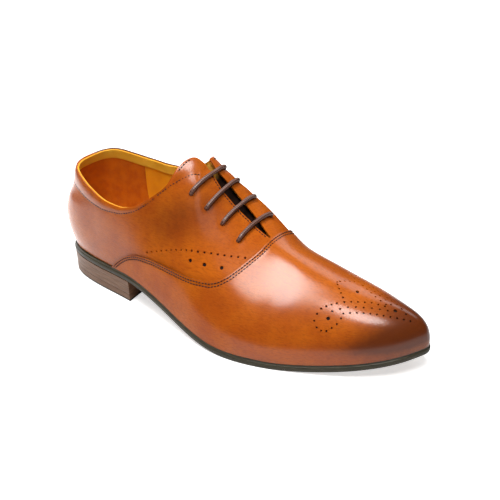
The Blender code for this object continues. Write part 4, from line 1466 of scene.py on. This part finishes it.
@dataclass
class Stitching:
    """Rows of lockstitch on the vamp seam, the collar and the tab."""

    last: Last
    quarters: Quarters
    vamp: Vamp
    pitch: float = 2.45
    length: float = 2.15
    thread: float = 1.0
    margins: tuple[float, float] = (1.3, 3.1)
    facing_inset: float = 1.5
    edge_inset: float = 2.0
    collar_row: float = 5.4

    def line(self, rows: Array, beyond: Test, lift: Field) -> tuple[Array, Array]:
        """Stitch line where each section crosses a test.

        Args:
            rows: ring places in order.
            beyond: test that turns positive on the line.
            lift: height of the leather over the last there.

        Returns:
            Points and outward directions along the line.
        """
        t = self.last.crossing(rows % Row.RING.value, beyond)
        keep = (t > 0.002) & (t < 0.9985)
        ring = (rows % Row.RING.value)[keep]
        t = t[keep][:, None]
        points = self.last.points(ring, t)[:, 0]
        normal = self.last.normals(ring, t)[:, 0]
        whole = self.last.past_opening(points, ring <= Row.TIP.value) < -0.7
        points, normal = points[whole], normal[whole]
        return points + normal * (lift(points) + 0.02)[:, None], normal

    def lay(self, points: Array, normal: Array) -> tuple[Array, Array]:
        """Evenly spaced stitches along a line.

        Args:
            points: points of the line.
            normal: outward directions there.

        Returns:
            Centres and the three axes of each stitch.
        """
        run = run_of(points)
        at = np.arange(self.pitch, run[-1] - self.pitch * 0.5, self.pitch)
        place, up = along(points, run, at), along(normal, run, at)
        ahead = unit(np.gradient(place, axis=0))
        up = unit(up - ahead * np.sum(up * ahead, 1, keepdims=True))
        return place, np.stack([ahead, np.cross(up, ahead), up], 1)

    def build(self) -> None:
        """Models and dresses all the stitches as one piece."""
        ring, relief, reach = Row.RING.value, self.quarters.relief, self.collar_row
        half, tab = np.linspace(3.0, 10.6, 420), np.linspace(6.35, 7.75, 160)
        rows = []
        for margin in self.margins:
            seam = self.last.past_seam(margin)
            sides = [self.line(side, seam, self.vamp.relief) for side in (half, ring - half[::-1])]
            rows.append(self.lay(*(np.concatenate(part) for part in zip(*sides))))
        rows.append(self.lay(*self.line(np.linspace(-reach, reach, 600), self.past_stitch, relief)))
        rows += [self.lay(*self.tab_line(side)) for side in Side]
        rows.append(self.bar_tack())
        rows += [self.lay(*self.line(side, self.past_edge, relief)) for side in (tab, ring - tab)]
        rows.append(self.lay(*self.line(np.linspace(7.62, 9.6, 200), self.past_facing, relief)))
        place, axes = (np.concatenate(part) for part in zip(*rows))
        bpy.ops.object.select_all(action="DESELECT")
        bpy.ops.mesh.primitive_uv_sphere_add(segments=8, ring_count=5, radius=0.5)
        shape, faces = Bench.take()
        shape = shape * (self.length, self.thread, self.thread * 0.8)
        piece = Bench.copies("stitching", np.einsum("pk,nkj->npj", shape, axes) + place[:, None], faces)
        Finishes.dress(piece, Finishes.THREAD)
        Bench.smooth(piece, 80.0)
        Bench.settle(piece, "upper_finish")

    def tab_line(self, side: Side) -> tuple[Array, Array]:
        """Collar row over the tab, read from the side, and the directions along it."""
        outer = side is Side.OUTER
        ring = np.array([self.collar_row if outer else Row.RING.value - self.collar_row])
        start = self.last.points(ring, self.last.crossing(ring, self.past_stitch)[:, None])[0, 0]
        xs = np.linspace(start[0], 127.5 if outer else 122.0, 60)
        mask = np.full(len(xs), outer)
        spots = [self.quarters.punch.from_side(side, x, z) for x, z in zip(xs, self.quarters.stitch_height(xs, mask))]
        points, normal = (np.array(part) for part in zip(*spots))
        whole = self.last.past_opening(points, mask) < -0.9
        points, normal = points[whole], normal[whole]
        return points + normal * (self.quarters.relief(points) + 0.02)[:, None], normal

    def bar_tack(self) -> tuple[Array, Array]:
        """Short stitches across the back seam at the collar."""
        places, axes = [], []
        for z in np.linspace(84.5, 91.5, 6):
            place, normal = self.quarters.punch.hit((-40.0, 0.0, z), (1.0, 0.0, 0.0))
            across = np.array([0.0, 1.0, 0.0])
            places.append(place + normal * (float(self.quarters.relief(place)) + 0.05))
            axes.append(np.stack([across, np.cross(normal, across), normal]))
        return np.array(places), np.array(axes)

    def past_stitch(self, points: Array, outer: Array) -> Array:
        """Positive above the collar stitching."""
        return points[..., 2] - self.quarters.stitch_height(points[..., 0], outer)

    def past_facing(self, points: Array, outer: Array) -> Array:
        """Positive within the inset of the facing's edge."""
        x, off = points[..., 0], points[..., 1] - straight(self.last.crown_y, points[..., 0])
        return straight(self.last.facing_gap, x) + self.facing_inset - np.where(outer, -off, off)

    def past_edge(self, points: Array, outer: Array) -> Array:
        """Positive within the inset of the tab's edge."""
        xs = np.linspace(100.0, 132.0, 60)
        gaps = [signed_distance(np.stack([xs, curve_through(self.last.collar, xs, column)], 1), points[..., 0],
                                points[..., 2]) for column in (1, 2)]
        return np.where(outer, *gaps) + self.edge_inset


@dataclass(frozen=True)
class Lamp:
    """One oval softbox: watts, size and distance in metres, azimuth and elevation from the shoe in degrees."""

    name: str
    power: float
    size: tuple[float, float]
    way: tuple[float, float]
    distance: float = 1.0

    def build(self) -> None:
        """Sets the light, aimed at the shoe, its long side across the shoe."""
        turn, rise = (math.radians(v) for v in self.way)
        back = Vector((math.sin(turn) * math.cos(rise), -math.cos(turn) * math.cos(rise), math.sin(rise)))
        light = bpy.data.lights.new(self.name, "AREA")
        light.shape = "ELLIPSE"
        light.size, light.size_y = self.size
        light.energy = self.power
        lamp = bpy.data.objects.new(self.name, light)
        across = Vector((0.0, 1.0, 0.0)).cross(back).normalized()
        turned = Matrix((across, back.cross(across), back)).transposed().to_4x4()
        lamp.matrix_world = Matrix.Translation(Vector((0.03, 0.0, 0.05)) + back * self.distance) @ turned
        bpy.context.scene.collection.objects.link(lamp)


@dataclass
class Studio:
    """Pale floor and backdrop, soft light and the camera."""

    eye: tuple[float, float, float] = (508.8, -503.9, 381.2)
    target: tuple[float, float, float] = (150.0, 0.0, 45.0)
    roll: float = -0.99
    lens: float = 68.47
    shift: tuple[float, float] = (0.0416, 0.0144)
    lamps: tuple[Lamp, ...] = (
        Lamp("key", 11.0, (0.31, 1.00), (-38.0, 75.0)),
        Lamp("fill", 5.6, (0.43, 0.38), (42.0, 63.0)),
        Lamp("rim", 3.4, (0.6, 0.6), (-100.0, 22.0)),
        Lamp("back", 3.0, (1.2, 0.5), (180.0, 40.0), 1.2),
    )
    world: float = 0.05
    floor_glow: float = 2.5
    floor_seen: float = 0.25

    def build(self) -> None:
        """Sets the camera, the lights and the floor."""
        self.set_camera()
        self.set_light()
        self.set_floor()

    def set_camera(self) -> None:
        """Camera at the viewing angle of the picture."""
        eye = Vector(to_frame(np.array(self.eye)))
        ahead = (Vector(to_frame(np.array(self.target))) - eye).normalized()
        right = ahead.cross(Vector((0, 0, 1))).normalized()
        up = right.cross(ahead)
        turn = math.radians(self.roll)
        right, up = right * math.cos(turn) + up * math.sin(turn), up * math.cos(turn) - right * math.sin(turn)
        lens = bpy.data.cameras.new("camera")
        lens.lens = self.lens
        lens.sensor_width = 36.0
        lens.shift_x, lens.shift_y = self.shift
        lens.clip_start = 0.01
        camera = bpy.data.objects.new("camera", lens)
        turned = Matrix((right, up, -ahead)).transposed().to_4x4()
        camera.matrix_world = Matrix.Translation(eye) @ turned
        bpy.context.scene.collection.objects.link(camera)
        bpy.context.scene.camera = camera

    def set_light(self) -> None:
        """Softboxes and a dim surround."""
        scene = bpy.context.scene
        scene.view_settings.view_transform = "Standard"
        world = bpy.data.worlds.new("surround")
        world.use_nodes = True
        sky = world.node_tree.nodes["Background"]
        sky.inputs["Color"].default_value = (1.0, 0.99, 0.97, 1.0)
        sky.inputs["Strength"].default_value = self.world
        scene.world = world
        for lamp in self.lamps:
            lamp.build()

    def set_floor(self) -> None:
        """Pale floor; to reflections it is darker far from the shoe and glows a little behind the heel."""
        bpy.ops.object.select_all(action="DESELECT")
        bpy.ops.mesh.primitive_plane_add(size=6.0)
        floor = bpy.context.object
        floor.name = "floor"
        material, n, shader, place = start_material("pale_floor")
        seen = n.add("ShaderNodeLightPath").outputs["Is Camera Ray"]
        narrow = n.add("ShaderNodeVectorMath", {0: place, 1: (0.45, 1.0, 0.0)}, operation="MULTIPLY").outputs[0]
        away = n.add("ShaderNodeVectorMath", {0: narrow}, operation="LENGTH").outputs["Value"]
        gap = n.add("ShaderNodeVectorMath", {0: place, 1: (-0.345, 0.015, 0.0)}, operation="DISTANCE").outputs["Value"]
        fade, patch = n.grey(n.ramp(away, 0.18, 0.30, 0.80, 0.07)), n.grey(n.ramp(gap, 0.09, 0.24, 0.62, 0.0))
        n.feed(shader, {
            "Base Color": n.blend(seen, fade, (0.93, 0.93, 0.92, 1.0)), "Roughness": 0.8,
            "Emission Color": n.blend(seen, patch, n.grey(n.ramp(away, 0.25, 1.0, self.floor_seen, 0.42))),
            "Emission Strength": self.floor_glow,
        })
        floor.data.materials.append(material)
        self.set_backdrop()

    @staticmethod
    def set_backdrop() -> None:
        """Surround behind the shoe, white to the camera and nearly black to reflections."""
        bpy.ops.object.select_all(action="DESELECT")
        bpy.ops.mesh.primitive_uv_sphere_add(segments=24, ring_count=12, radius=3.0)
        wall = bpy.context.object
        wall.name = "backdrop"
        material, n, shader, _ = start_material("white_backdrop")
        seen = n.add("ShaderNodeLightPath").outputs["Is Camera Ray"]
        n.feed(shader, {
            "Emission Color": n.blend(seen, (0.02, 0.02, 0.02, 1.0), (1.0, 1.0, 1.0, 1.0)),
            "Emission Strength": 1.05, "Base Color": (0.0, 0.0, 0.0), "Roughness": 1.0,
        })
        material.cycles.emission_sampling = "NONE"
        wall.data.materials.append(material)


def main() -> None:
    """Builds every piece in order."""
    logging.basicConfig(level=logging.INFO, format="%(relativeCreated)d ms %(name)s: %(message)s")
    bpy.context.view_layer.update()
    last = Last()
    punch = Punch(last)
    quarters = Quarters(last, punch)
    vamp = Vamp(last, punch)
    Studio().build()
    quarters.build()
    vamp.build()
    Tongue(last, punch).build()
    Lace(last, punch).build()
    Bottom(last).build()
    Stitching(last, quarters, vamp).build()


if __name__ == "__main__":
    main()
